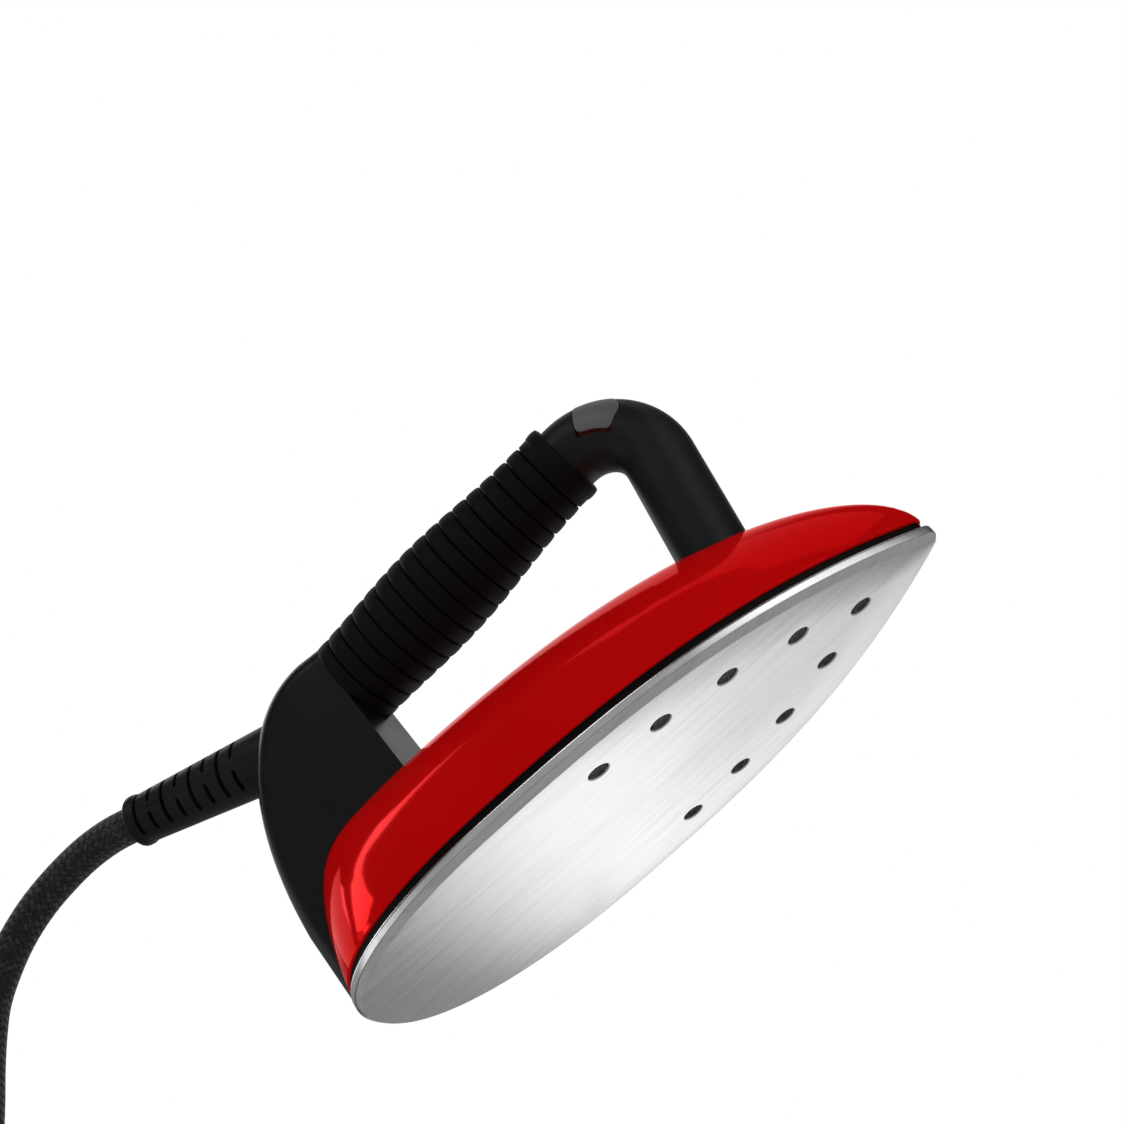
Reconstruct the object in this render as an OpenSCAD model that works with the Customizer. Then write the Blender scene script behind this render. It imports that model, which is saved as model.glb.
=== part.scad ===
// Hand iron of a steam station: soleplate unit, shell, loop handle, rear casing,
// steam hose with its connector. Millimetres. +X points to the tip, +Z up from the
// sole face, and the origin lies under the middle of the iron.

/* [Soleplate] */
// Length of the soleplate from heel to tip
sole_l = 230; // [215:1:250]
// Width of the soleplate at its widest place
sole_w = 115.6; // [108:0.2:124]
// Distance from the tip back to the widest place
sole_nose = 145; // [138:1:155]
// Exponent of the nose curve
nose_power = 2.7; // [2.4:0.1:3]
// Exponent of the heel curve
heel_power = 2.2; // [2:0.1:2.6]
// Radius of the tip seen from above
tip_r = 4.5; // [3:0.5:6]
// Thickness of the soleplate
sole_t = 5; // [4:0.5:6]
// Bevel round the edge of the sole face
sole_bevel = 1.8; // [1:0.1:2.4]

/* [Steam holes] */
// Radius of a steam hole in the soleplate
hole_r = 3.5; // [2.5:0.1:4]
// Distance from the tip to the front hole
hole_nose_in = 31; // [28:1:34]
// Distance from the widest edge in to the line of holes
hole_side_in = 18; // [16:0.5:20]
// Pairs of holes behind the front hole
hole_pairs = 4; // [3:1:4]
// Step from the front hole to the first pair
hole_first = 19; // [17:0.5:21]
// Step from pair to pair
hole_pitch = 22.3; // [20:0.1:23]
// Radius of the feed hole above each steam hole
feed_r = 2; // [1.5:0.1:2.4]

/* [Heater] */
// Height of the heater casting
cast_t = 14; // [13:0.5:16]
// Distance from the sole's edge in to the casting
cast_in = 6.5; // [6:0.5:8]
// Step in from the casting's lower edge to its upper edge
cast_step = 4; // [3.8:0.1:4.4]
// Radius of the heating element
element_r = 3.3; // [3:0.1:3.6]
// Clearance of the element in its channel
element_gap = 0.15; // [0.1:0.05:0.3]
// Radius of the element's front bend
element_bend_r = 12; // [11:0.5:13]
// Distance from the tip back to the centre of that bend
element_bend_in = 69; // [66:1:72]
// Distance from the heel to the element's ends
element_end_gap = 27; // [24:1:32]
// Distance from the soleplate's side to the element's ends
element_side_gap = 27.8; // [26.8:0.5:30.8]
// Depth of the steam chamber
chamber_depth = 4.5; // [3.5:0.5:5]
// Distance from the line of holes out to the chamber's wall
chamber_out = 4.2; // [3.8:0.1:4.6]
// Width of the gasket round the chamber
gasket_w = 3.2; // [2.8:0.1:3.4]
// Thickness of the gasket
gasket_t = 0.6; // [0.4:0.1:1]
// Thickness of the chamber cover
cover_t = 2; // [1.5:0.5:3]
// Radius of a cover screw's shank
screw_r = 2; // [1.6:0.1:2.2]
// Radius of a cover screw's head
screw_head_r = 3.6; // [3.2:0.1:4]

/* [Shell] */
// Height of the shell's lower edge above the sole face
shell_z = 7.8; // [7:0.2:9]
// Height of the shell from its lower edge to the crown
shell_h = 54.4; // [51:0.2:57]
// Distance from the tip back to the crown
crown_in = 192; // [186:1:198]
// Wall of the shell
shell_wall = 2.4; // [2:0.1:3]
// Distance from the sole's edge in to the shell's edge
shell_in = 0.8; // [0.4:0.1:1.2]
// Distance from the sole's edge in to the heat shield
shield_in = 1.8; // [1.5:0.1:2]
// Width of the heat shield
shield_w = 3; // [2.6:0.2:3.4]

/* [Handle] */
// Height of the handle's axis above the sole face at the casing
handle_z = 101.4; // [99:0.2:105]
// Tilt of the grip, rising to the front
grip_tilt = 4.1; // [2:0.1:5]
// Distance from the tip back to the end of the handle's straight part
bend_in = 69.8; // [66:0.2:74]
// Radius of the grip at its rear end
grip_rear_r = 16.9; // [16:0.1:17.5]
// Radius of the grip at its thickest place
grip_belly_r = 18.3; // [17.6:0.1:19]
// Radius of the grip near its front end
grip_front_r = 14.7; // [14:0.1:15.4]
// Ribs on the grip
grip_ribs = 16; // [12:1:18]
// Share of the rearmost rib that is left out
rib_cut = 0.18; // [0:0.02:0.6]
// Depth of the groove between two ribs
rib_depth = 1.1; // [0.8:0.1:1.4]
// Length of the plain collar at the grip's front end
collar_l = 8.8; // [8:0.2:10]
// Radius of the bead on that collar
collar_r = 14.9; // [14.8:0.1:15.6]
// Outer radius of the handle tube
tube_r = 12.2; // [12:0.1:12.5]
// Radius of the core that carries the grip
core_r = 10; // [9.6:0.1:10.4]
// Bore of the handle tube
bore_r = 8.3; // [8:0.1:8.5]
// Bore of the core
core_bore_r = 7.5; // [7:0.1:8]
// Length of core inside the casing
core_in = 13; // [12:0.5:13.5]
// Straight length between grip and bend
bend_start = 0.8; // [0.6:0.2:3]
// Radius of the bend at the tube's axis
bend_r = 21.5; // [21:0.5:24]
// Lean of the front leg, its top to the front
leg_lean = 9.9; // [7:0.1:11]
// Height of the leg's lower end above the chamber cover
leg_foot = 5; // [4:0.5:7]

/* [Casing] */
// Distance from the heel back to the casing's back
heel_overhang = 3; // [2:0.5:4]
// Distance from the heel forward to the casing's front at the handle
casing_front_in = 53.9; // [52:0.1:56]
// Width of the casing
casing_w = 28; // [27:0.5:30]
// Rounding of the casing's back edges
casing_round = 7; // [5:0.5:8]
// Height of the casing's top above the sole face
casing_top = 116.3; // [114:0.1:119]
// Height at which the back starts to curve to the top
casing_hip = 36; // [30:1:40]
// Wall of the casing
casing_wall = 2.2; // [2:0.1:2.6]
// Clearance between the casing and the shell
casing_gap = 0.2; // [0.1:0.05:0.4]
// Radius of a casing screw
case_screw_r = 1.5; // [1.2:0.1:1.7]

/* [Steam button] */
// Angle of the button from the vertical, towards the front
button_at = 38; // [36:0.5:40]
// Angle that the button spans along the bend
button_span = 35; // [33:0.5:37]
// Length of the button's straight skirts below the tube's middle
button_skirt = 1.6; // [1:0.1:1.8]
// Thickness of the button
button_t = 1.5; // [1.4:0.1:1.6]
// Height of the button above the tube
button_proud = 0.4; // [0.2:0.1:0.6]
// Travel of the button
button_travel = 1; // [0.8:0.1:1]
// Radius of the floor of the button's recess in the tube
recess_r = 9.5; // [9.4:0.1:9.6]
// Thickness of the liner in that recess
liner_t = 0.45; // [0.4:0.05:0.5]

/* [Hose] */
// Outer diameter of the braided hose and lead
cord_d = 13; // [12:0.5:14]
// Length of the strain relief outside the casing
relief_l = 60; // [56:1:64]
// Radius of the strain relief at the casing
relief_r = 11.3; // [11:0.1:11.4]
// Radius of the strain relief at its end
relief_end_r = 8.7; // [8.2:0.1:9]
// Radius of the bead at its end
relief_bead_r = 9.5; // [9:0.1:10]
// Radius of the strain relief in the groove that the casing's rib grips
relief_neck_r = 9.6; // [9:0.1:10]
// Rise of the strain relief, outwards
relief_rise = 18.3; // [16:0.1:21]
// Outer radius of the steam hose inside the iron
hose_r = 3.5; // [3:0.1:4]
// Radius of the coil's outer turn at the hose's middle
coil_r = 78; // [76:1:82]

/* [Connector] */
// Length of the connector's body
plug_l = 46; // [42:1:50]
// Width of the connector's body
plug_w = 46; // [43:1:48]
// Height of the connector's body
plug_h = 18; // [18:0.5:20]
// Length of the connector's boot
boot_l = 26; // [22:1:28]
// Radius of the steam nozzle
nozzle_r = 4; // [3.5:0.1:4.5]
// Length of the steam nozzle outside the body
nozzle_l = 12; // [11:0.5:14]
// Radius of a contact pin
pin_r = 1.5; // [1.2:0.1:1.8]
// Length of a contact pin outside the body
pin_l = 9; // [8:0.5:10]
// Distance between contact pins across the body
pin_pitch_y = 8; // [7:0.5:9]
// Distance between contact pins in height
pin_pitch_z = 7; // [6:0.5:8]

/* [Hidden] */
$fn = 48;
eps = 0.01;
far = 400;

// Colours
steel = [0.72, 0.73, 0.74];
cast_grey = [0.6, 0.61, 0.62];
red = [0.68, 0.03, 0.04];
black = [0.06, 0.06, 0.07];
soft_black = [0.03, 0.03, 0.03];
brass = [0.8, 0.65, 0.3];
ivory = [0.86, 0.84, 0.78];
copper_red = [0.7, 0.25, 0.15];

// Places along the iron
x_tip = (sole_l + heel_overhang) / 2;
x_heel = x_tip - sole_l;
x_wide = x_tip - sole_nose;
sole_heel = sole_l - sole_nose;
half_w = sole_w / 2;

// ---- Almond outline -------------------------------------------------------

outline_n = 22;

// Half of an almond, tip to heel on the +Y side. The core is a power curve at the nose
// and a superellipse at the heel; it is grown by r, which rounds the tip.
function almond_half(nose, heel, w, r, g = 0) =
  let (cn = nose - r, ch = heel - r, cw = w - r, d = r + g,
       fan = atan2(cn, cw * nose_power))
  concat(
    [for (i = [0:4]) [x_wide + cn + d * cos(fan * i / 5), d * sin(fan * i / 5)]],
    [for (i = [0:outline_n])
      let (u = 1 - i / outline_n, slope = cw * nose_power * pow(u, nose_power - 1),
           m = norm([slope, cn]))
      [x_wide + cn * u + d * slope / m, cw * (1 - pow(u, nose_power)) + d * cn / m]],
    [for (i = [1:outline_n])
      let (a = 90 * i / outline_n, s = pow(sin(a), 2 / heel_power),
           c = i == outline_n ? 0 : pow(cos(a), 2 / heel_power),
           nx = pow(s, heel_power - 1) / ch, ny = pow(c, heel_power - 1) / cw,
           m = norm([nx, ny]))
      [x_wide - ch * s - d * nx / m, cw * c + d * ny / m]]
  );

// A whole outline from its half, without the doubled ends
function mirrored(h) = concat(h, [for (i = [len(h) - 2:-1:1]) [h[i].x, -h[i].y]]);

function sole_line(g) = mirrored(almond_half(sole_nose, sole_heel, half_w, tip_r, g));

// Outline at a distance inside the sole's edge; the nose draws back further
nose_ratio = 1.4;
function inset_line(d) =
  mirrored(almond_half(sole_nose - nose_ratio * d, sole_heel - d, half_w - d, tip_r));

// ---- Lofts and sweeps -----------------------------------------------------

// Closed solid through rings of equal point counts
module loft(rings) {
  n = len(rings[0]);
  k = len(rings);
  polyhedron(
    points = [for (r = rings) each r],
    faces = concat(
      [[for (i = [0:n - 1]) i]],
      [for (j = [0:k - 2], i = [0:n - 1])
        [j * n + i, (j + 1) * n + i, (j + 1) * n + (i + 1) % n, j * n + (i + 1) % n]],
      [[for (i = [0:n - 1]) k * n - 1 - i]]
    ),
    convexity = 6
  );
}

function at_z(line, z) = [for (p = line) [p.x, p.y, z]];

function unit(v) = v / norm(v);

function heading(p, i) =
  unit((i == len(p) - 1 ? p[i] : p[i + 1]) - (i == 0 ? p[i] : p[i - 1]));

// Ring of n points round place c, square to direction t; t is never along `ref`
function ring(c, t, r, n, ref) =
  let (side = unit(cross(t, ref)), up = cross(t, side))
  [for (i = [0:n - 1]) c + r * (cos(360 * i / n) * side + sin(360 * i / n) * up)];

// Round rod of radius r through a list of points
module sweep(points, r, n = 8, ref = [0, 1, 0]) {
  loft([for (i = [0:len(points) - 1]) ring(points[i], heading(points, i), r, n, ref)]);
}

// Round pipe through a list of points
module pipe_sweep(points, r, r_in, n = 12) {
  difference() {
    sweep(points, r, n);
    sweep(concat([points[0] - heading(points, 0)], points,
      [points[len(points) - 1] + heading(points, len(points) - 1)]), r_in, n);
  }
}

// Smooth curve through hand-chosen points: steps of a Catmull-Rom spline
function smooth(p, steps = 4) =
  let (n = len(p))
  concat([for (i = [0:n - 2], k = [0:steps - 1])
    let (t = k / steps, a = p[max(i - 1, 0)], b = p[i], c = p[i + 1], d = p[min(i + 2, n - 1)])
    0.5 * (2 * b + (c - a) * t + (2 * a - 5 * b + 4 * c - d) * t * t
      + (3 * b - 3 * c + d - a) * t * t * t)], [p[n - 1]]);

// ---- Shell surface --------------------------------------------------------

front_ridge = [2.65, 1.77]; // exponents of the ridge line ahead of the crown
rear_ridge = [3.5, 2.2];    // and behind it
flank = [1.65, 1.21];       // exponents of a cross-section
dome_n = 9;                 // steps from the ridge to the edge

crown_x = x_tip - crown_in;

// Height of the ridge at x for a dome from x_back to x_front
function ridge(x, x_front, x_back, h) =
  x > crown_x
    ? h * pow(max(0, 1 - pow((x - crown_x) / (x_front - crown_x), front_ridge[0])),
        1 / front_ridge[1])
    : h * pow(max(0, 1 - pow((crown_x - x) / (crown_x - x_back), rear_ridge[0])),
        1 / rear_ridge[1]);

// Shares of the half width, closer together at the edge
function share(k) = sin(90 * k / dome_n);

function flank_at(e) = pow(max(0, 1 - pow(e, flank[0])), 1 / flank[1]);

// Dome over a half outline: a grid of cross-sections from tip to heel, closed by a flat
// bottom at z_low. Every cross-section runs from -Y over the ridge to +Y.
module dome(half, z_edge, h, z_low) {
  n = len(half);
  x_front = half[0].x;
  x_back = half[n - 1].x;
  m = 2 * dome_n + 3;
  stations = [for (i = [1:n - 2]) half[i]];
  section = concat([-dome_n - 1], [for (k = [-dome_n:dome_n]) k], [dome_n + 1]);
  body_pts = [for (p = stations, k = section)
    abs(k) > dome_n
      ? [p.x, sign(k) * p.y, z_low]
      : let (e = share(abs(k)))
        [p.x, sign(k) * p.y * e, z_edge + ridge(p.x, x_front, x_back, h) * flank_at(e)]];
  k = len(stations);
  tip = k * m;
  ends = [[x_front, 0, z_edge], [x_front, 0, z_low], [x_back, 0, z_edge], [x_back, 0, z_low]];
  polyhedron(
    points = concat(body_pts, ends),
    faces = concat(
      [for (j = [0:k - 2], i = [0:m - 2])
        [j * m + i, (j + 1) * m + i, (j + 1) * m + i + 1, j * m + i + 1]],
      [for (i = [1:m - 3]) [tip, i, i + 1]],
      [[tip + 1, 0, 1, tip], [tip + 1, tip, m - 2, m - 1]],
      [for (i = [1:m - 3]) [tip + 2, (k - 1) * m + i + 1, (k - 1) * m + i]],
      [[tip + 3, tip + 2, (k - 1) * m + 1, (k - 1) * m],
       [tip + 3, (k - 1) * m + m - 1, (k - 1) * m + m - 2, tip + 2]],
      [concat([for (j = [0:k - 1]) (k - 1 - j) * m], [tip + 1],
        [for (j = [0:k - 1]) j * m + m - 1], [tip + 3])]
    ),
    convexity = 8
  );
}

// The dome grown or shrunk by g all over, its bottom at z_low
module shell_form(g, z_low) {
  d = shell_in - g;
  dome(almond_half(sole_nose - (g < 0 ? nose_ratio : 1) * d, sole_heel - d, half_w - d, tip_r),
    shell_z, shell_h + g, z_low);
}

// ---- Handle frames --------------------------------------------------------

// Where the handle's axis meets the casing's front face
grip_x = x_heel + casing_front_in;
grip_dir = [cos(grip_tilt), 0, sin(grip_tilt)];
grip_origin = [grip_x, 0, handle_z];
grip_l = (x_tip - bend_in - grip_x) / grip_dir.x - bend_start;
bend_from = grip_origin + (grip_l + bend_start) * grip_dir;
bend_centre = bend_from + bend_r * [sin(grip_tilt), 0, -cos(grip_tilt)];
leg_dir = [sin(leg_lean), 0, cos(leg_lean)];
leg_top = bend_centre + bend_r * [cos(leg_lean), 0, -sin(leg_lean)];
leg_z = sole_t + cast_t + gasket_t + cover_t + leg_foot;
leg_l = (leg_top.z - leg_z) / leg_dir.z;
leg_end = leg_top - leg_l * leg_dir;

// Local Z along the grip, starting at the casing's front face
module grip_frame() { translate(grip_origin) rotate([0, 90 - grip_tilt, 0]) children(); }

// Local Z up the front leg, starting at its lower end
module leg_frame() { translate(leg_end) rotate([0, leg_lean, 0]) children(); }

// The bend's axis is local Z; local X points forward and local Y up
module bend_frame() { translate(bend_centre) rotate([90, 0, 0]) children(); }

// Local Z points out of the button, from the tube's axis
module button_place() {
  translate(bend_centre + bend_r * [sin(button_at), 0, cos(button_at)])
    rotate([0, button_at, 0]) children();
}

// Part of a ring in the tube's section, to `side` degrees each way from the outside
module sector(r_in, r_out, side) {
  reach = 2 * r_out;
  translate([bend_r, 0]) intersection() {
    difference() {
      circle(r = r_out);
      circle(r = r_in);
    }
    polygon([[0, 0], reach * [cos(side), -sin(side)], [reach, -reach], [reach, reach],
      reach * [cos(side), sin(side)]]);
  }
}

// A section swept along the bend, centred on the button
module along_bend(span) {
  bend_frame() rotate([0, 0, 90 - button_at - span / 2]) rotate_extrude(angle = span) children();
}

module saddle(r_in, r_out, side, span) { along_bend(span) sector(r_in, r_out, side); }

// ---- Soleplate and heater -------------------------------------------------

x_apex = x_tip - hole_nose_in;
hole_nose = sole_nose - hole_nose_in;
hole_w = half_w - hole_side_in;
function hole_x(i) = x_apex - hole_first - (i - 1) * hole_pitch;
function hole_y(x) = hole_w * (1 - pow(max(0, x - x_wide) / hole_nose, nose_power));

module at_holes() {
  translate([x_apex, 0, 0]) children();
  for (i = [1:hole_pairs], s = [-1, 1]) translate([hole_x(i), s * hole_y(hole_x(i)), 0]) children();
}

module soleplate() {
  color(steel) difference() {
    loft([at_z(sole_line(-sole_bevel), 0), at_z(sole_line(0), sole_bevel),
      at_z(sole_line(0), sole_t - 0.4), at_z(sole_line(-0.4), sole_t)]);
    at_holes() translate([0, 0, -1]) cylinder(h = sole_t + 2, r = hole_r);
  }
}

cast_z = sole_t;
cast_top = cast_z + cast_t;
chamber_z = cast_top - chamber_depth;
element_z = cast_z + element_r + element_gap + 1;
element_x = x_tip - element_bend_in;
element_end_in = sole_l - element_end_gap;
element_end_y = sole_w / 2 - element_side_gap;
element_run = element_end_in - element_bend_in;
// Length and splay of a leg, tangent to the front bend
element_leg = sqrt(pow(element_run, 2) + pow(element_end_y, 2) - pow(element_bend_r, 2));
splay = atan2(element_end_y, element_run) - atan2(element_bend_r, element_leg);
element_pin_r = 1.6;
element_pin_top = cast_top + 9;
chamber_heel = 25;
chamber_line_w = hole_w + chamber_out;

function chamber_half(g) =
  almond_half(hole_nose + 2 * chamber_out + g * nose_ratio, chamber_heel + g,
    chamber_line_w + g, tip_r);

// Shape of the U-bent element; grown by g for its channel
module element_form(r) {
  translate([element_x, 0, element_z]) {
    rotate([0, 0, splay - 90]) rotate_extrude(angle = 180 - 2 * splay)
      translate([element_bend_r, 0]) circle(r = r);
    for (s = [-1, 1]) rotate([0, 0, s * (90 - splay)]) translate([element_bend_r, -s * lap_l, 0])
      rotate([-90 * s, 0, 0]) cylinder(h = element_leg + lap_l, r = r - lap);
  }
}

element_pin_x = x_tip - element_end_in + element_r;

module at_element_pins() {
  for (s = [-1, 1]) translate([element_pin_x, s * (element_end_y - 0.5), 0]) children();
}

cover_screw_at = [[x_wide + 38, 24], [x_wide - 12, 22]];
bracket_screw_at = [leg_end.x - 5, 20];
boss_r = 4.2;
tap_r = screw_r - 0.05;

module at_pairs(list) { for (p = list, s = [-1, 1]) translate([p.x, s * p.y, 0]) children(); }

module at_bosses() { at_pairs(concat(cover_screw_at, [bracket_screw_at])) children(); }

rear_foot_x = x_heel + 19;
rear_foot_y = 12;

module heater_casting() {
  color(cast_grey) difference() {
    union() {
      difference() {
        union() {
          translate([0, 0, cast_z]) linear_extrude(chamber_z - cast_z) polygon(inset_line(cast_in));
          translate([0, 0, chamber_z - 1]) linear_extrude(chamber_depth + 1)
            polygon(inset_line(cast_in + cast_step));
        }
        translate([0, 0, chamber_z]) linear_extrude(chamber_depth + 1)
          polygon(mirrored(chamber_half(0)));
      }
      at_bosses() translate([0, 0, chamber_z - eps])
        cylinder(h = chamber_depth + gasket_t + eps, r = boss_r);
    }
    element_form(element_r + element_gap);
    at_element_pins() translate([0, 0, element_z]) cylinder(h = cast_t, r = element_pin_r + 0.6);
    at_holes() translate([0, 0, cast_z - 1]) cylinder(h = cast_t, r = feed_r);
    at_bosses() translate([0, 0, chamber_z]) cylinder(h = far, r = tap_r);
    for (s = [-1, 1]) translate([rear_foot_x, s * rear_foot_y, chamber_z]) cylinder(h = far, r = tap_r);
  }
}

module heating_element() {
  color(cast_grey) {
    element_form(element_r);
    at_element_pins() translate([0, 0, element_z])
      cylinder(h = element_pin_top - element_z, r = element_pin_r);
  }
}

module chamber_gasket() {
  color(copper_red) translate([0, 0, cast_top]) linear_extrude(gasket_t) difference() {
    polygon(mirrored(chamber_half(gasket_w)));
    polygon(mirrored(chamber_half(0.3)));
  }
}

cover_z = cast_top + gasket_t;
cover_top = cover_z + cover_t;
inlet_x = x_wide + 8;
inlet_r = 3;

module chamber_cover() {
  color(cast_grey) difference() {
    translate([0, 0, cover_z]) linear_extrude(cover_t) polygon(mirrored(chamber_half(gasket_w)));
    at_bosses() translate([0, 0, cover_z - 1]) cylinder(h = cover_t + 2, r = screw_r + 0.2);
    translate([inlet_x, 0, cover_z - 1]) cylinder(h = cover_t + 2, r = inlet_r);
  }
}

head_h = 2.4;
shank_in = 4;

// Pan-head screw: its seat at z = 0, the shank downwards
module screw(r, head_r, length, height = head_h) {
  translate([0, 0, -length]) cylinder(h = length + eps, r = r);
  cylinder(h = height, r = head_r);
}

module cover_screws() {
  color(steel) at_pairs(cover_screw_at) translate([0, 0, cover_top])
    screw(screw_r - 0.1, screw_head_r, cover_t + shank_in);
}

inlet_h = 9;
barb_r = 2;
barb_l = 12;
inlet_flange_r = 6;
barb_z = cover_top + inlet_h;

module steam_inlet() {
  color(brass) difference() {
    union() {
      translate([inlet_x, 0, cover_z]) cylinder(h = cover_t + eps, r = inlet_r - 0.1);
      translate([inlet_x, 0, cover_top]) cylinder(h = 2, r = inlet_flange_r);
      translate([inlet_x, 0, cover_top]) cylinder(h = inlet_h + 3, r = 4);
      translate([inlet_x, 0, barb_z]) rotate([0, -90, 0]) cylinder(h = 4 + barb_l, r = barb_r);
    }
    translate([inlet_x, 0, cover_z - 1]) cylinder(h = barb_z - cover_z + 2, r = 1.2);
    translate([inlet_x, 0, barb_z]) rotate([0, -90, 0]) cylinder(h = far, r = 1.2);
  }
}

thermo_r = 8;
plateau_x = max(x_wide - chamber_heel - 17, rear_foot_x + thermo_r + 9.5);
thermo_y = 15;

module thermostat() {
  color(ivory) translate([plateau_x, thermo_y, cast_top]) {
    cylinder(h = 2, r = thermo_r);
    translate([0, 0, 2]) cylinder(h = 6, r = thermo_r - 1.5);
    for (s = [-1, 1]) translate([s * 4 - 0.4, -2, 8]) cube([0.8, 4, 7]);
  }
}

module thermal_fuse() {
  color(brass) translate([plateau_x, -thermo_y, cast_top]) {
    translate([-8, -4, 0]) cube([16, 8, 1]);
    translate([-7, 0, 3.8]) rotate([0, 90, 0]) cylinder(h = 14, r = 2.9);
    translate([-7, -1, 0.5]) cube([14, 2, 2]);
  }
}

// ---- Shield and shell -----------------------------------------------------

module heat_shield() {
  color(black) translate([0, 0, sole_t]) linear_extrude(shell_z - sole_t) difference() {
    polygon(sole_line(-shield_in));
    polygon(inset_line(shield_in + shield_w));
  }
}

pass_x = grip_x - 15;
pass_l = 12;
pass_w = 17;
leg_hole_gap = 0.3;
anchor_x = grip_x - 25;
anchor_y = 7;
anchor_r = 3.2;
flange_z = 46;
flange_t = 1.6;
rear_screw_r = 1.4;

module pass_cut() {
  translate([pass_x - pass_l / 2, -pass_w / 2, shell_z])
    cube([pass_l, pass_w, shell_h + casing_wall + 0.8]);
}

module red_shell() {
  color(red) difference() {
    shell_form(0, shell_z);
    difference() {
      shell_form(-shell_wall, shell_z - 5);
      for (s = [-1, 1]) translate([anchor_x, s * anchor_y, flange_z + flange_t])
        cylinder(h = far, r = anchor_r);
    }
    pass_cut();
    leg_frame() cylinder(h = leg_l, r = tube_r + leg_hole_gap);
    for (s = [-1, 1]) translate([anchor_x, s * anchor_y, flange_z]) cylinder(h = far, r = rear_screw_r + 0.2);
  }
}

socket_wall = 2.4;
socket_l = 9;
socket_gap = 0.1;
plate_t = 3;

module front_bracket() {
  color(steel) difference() {
    union() {
      translate([bracket_screw_at.x - 7, -bracket_screw_at.y - 6, cover_top])
        cube([14, 2 * bracket_screw_at.y + 12, plate_t]);
      intersection() {
        leg_frame() translate([0, 0, -leg_foot * 2])
          cylinder(h = leg_foot * 2 + socket_l, r = tube_r + socket_gap + socket_wall);
        translate([-far, -far, cover_top]) cube([2 * far, 2 * far, far]);
      }
    }
    leg_frame() cylinder(h = far, r = tube_r + socket_gap);
    at_pairs([bracket_screw_at]) translate([0, 0, cover_top - 1])
      cylinder(h = plate_t + 2, r = screw_r + 0.2);
  }
}

module bracket_screws() {
  color(steel) at_pairs([bracket_screw_at]) translate([0, 0, cover_top + plate_t])
    screw(screw_r - 0.1, screw_head_r, plate_t + cover_t + shank_in);
}

upright_t = 2;
foot_edge = 5;

module rear_bracket() {
  color(steel) difference() {
    union() {
      translate([rear_foot_x - foot_edge - 1, -rear_foot_y - foot_edge, cast_top])
        cube([2 * foot_edge + 4, 2 * (rear_foot_y + foot_edge), upright_t]);
      translate([rear_foot_x + 5, -anchor_y - 5, cast_top])
        cube([upright_t, 2 * anchor_y + 10, flange_z + flange_t - cast_top]);
      translate([rear_foot_x + 5, -anchor_y - 5, flange_z])
        cube([anchor_x - rear_foot_x + 1.5, 2 * anchor_y + 10, flange_t]);
    }
    for (s = [-1, 1]) {
      translate([rear_foot_x, s * rear_foot_y, cast_top - 1]) cylinder(h = upright_t + 2, r = screw_r + 0.2);
      translate([anchor_x, s * anchor_y, flange_z - 1]) cylinder(h = flange_t + 2, r = rear_screw_r + 0.2);
    }
  }
}

anchor_screw_l = 18;

module rear_screws() {
  color(steel) for (s = [-1, 1]) {
    translate([rear_foot_x, s * rear_foot_y, cast_top + upright_t])
      screw(screw_r - 0.1, screw_head_r - 0.4, upright_t + shank_in);
    translate([anchor_x, s * anchor_y, flange_z]) rotate([180, 0, 0])
      screw(rear_screw_r, 2.6, anchor_screw_l, 1.8);
  }
}

// ---- Handle ---------------------------------------------------------------

bend_turn = 90 + grip_tilt + leg_lean;
pocket_side = 105;
pocket_span = button_span + 2.6;
window_side = 58;
window_span = pocket_span - 2.4;

// Straight runs are thinner by `lap` than the bends that they run a little way into
lap = 0.02;
lap_l = 0.5;

module tube_run(r_core, r_tube, extra) {
  grip_frame() {
    translate([0, 0, -core_in - extra]) cylinder(h = core_in + grip_l + 2 * extra, r = r_core);
    translate([0, 0, grip_l + extra]) cylinder(h = bend_start - extra + lap_l, r = r_tube - lap);
  }
  bend_frame() rotate([0, 0, -leg_lean]) rotate_extrude(angle = bend_turn)
    translate([bend_r, 0]) circle(r = r_tube);
  leg_frame() translate([0, 0, -extra]) cylinder(h = leg_l + extra + lap_l, r = r_tube - lap);
}

// Two ledges inside the bore that carry the switch holder
module holder_ledges() {
  intersection() {
    along_bend(window_span) translate([bend_r, 0]) circle(r = bore_r + 0.5);
    button_place() for (s = [-1, 1])
      translate([-2, s * (bore_r + ledge_in) / 2 - (bore_r - ledge_in) / 2, holder_low - 1])
        cube([4, bore_r - ledge_in, 1]);
  }
}

module handle_tube() {
  color(black) {
    difference() {
      tube_run(core_r, tube_r, 0);
      tube_run(core_bore_r, bore_r, 1);
      saddle(recess_r, tube_r + 1, pocket_side, pocket_span);
      saddle(bore_r - 0.5, tube_r + 1, window_side, window_span);
    }
    holder_ledges();
  }
}

sleeve_gap = 0.08;
rib_land = 0.14;
belly_at = 0.38; // share of the length at which the grip is thickest
slim_at = 0.92;  // share from which it keeps its front radius
collar_at = grip_l - collar_l;
rib_pitch = collar_at / (grip_ribs - rib_cut);

// Radius of the grip at a distance t from its rear end
function grip_r(t) =
  let (u = t / grip_l)
  u < belly_at
    ? grip_rear_r + (grip_belly_r - grip_rear_r) * pow(sin(90 * u / belly_at), 2)
    : grip_front_r + (grip_belly_r - grip_front_r)
        * (1 + cos(180 * min(1, (u - belly_at) / (slim_at - belly_at)))) / 2;

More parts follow.
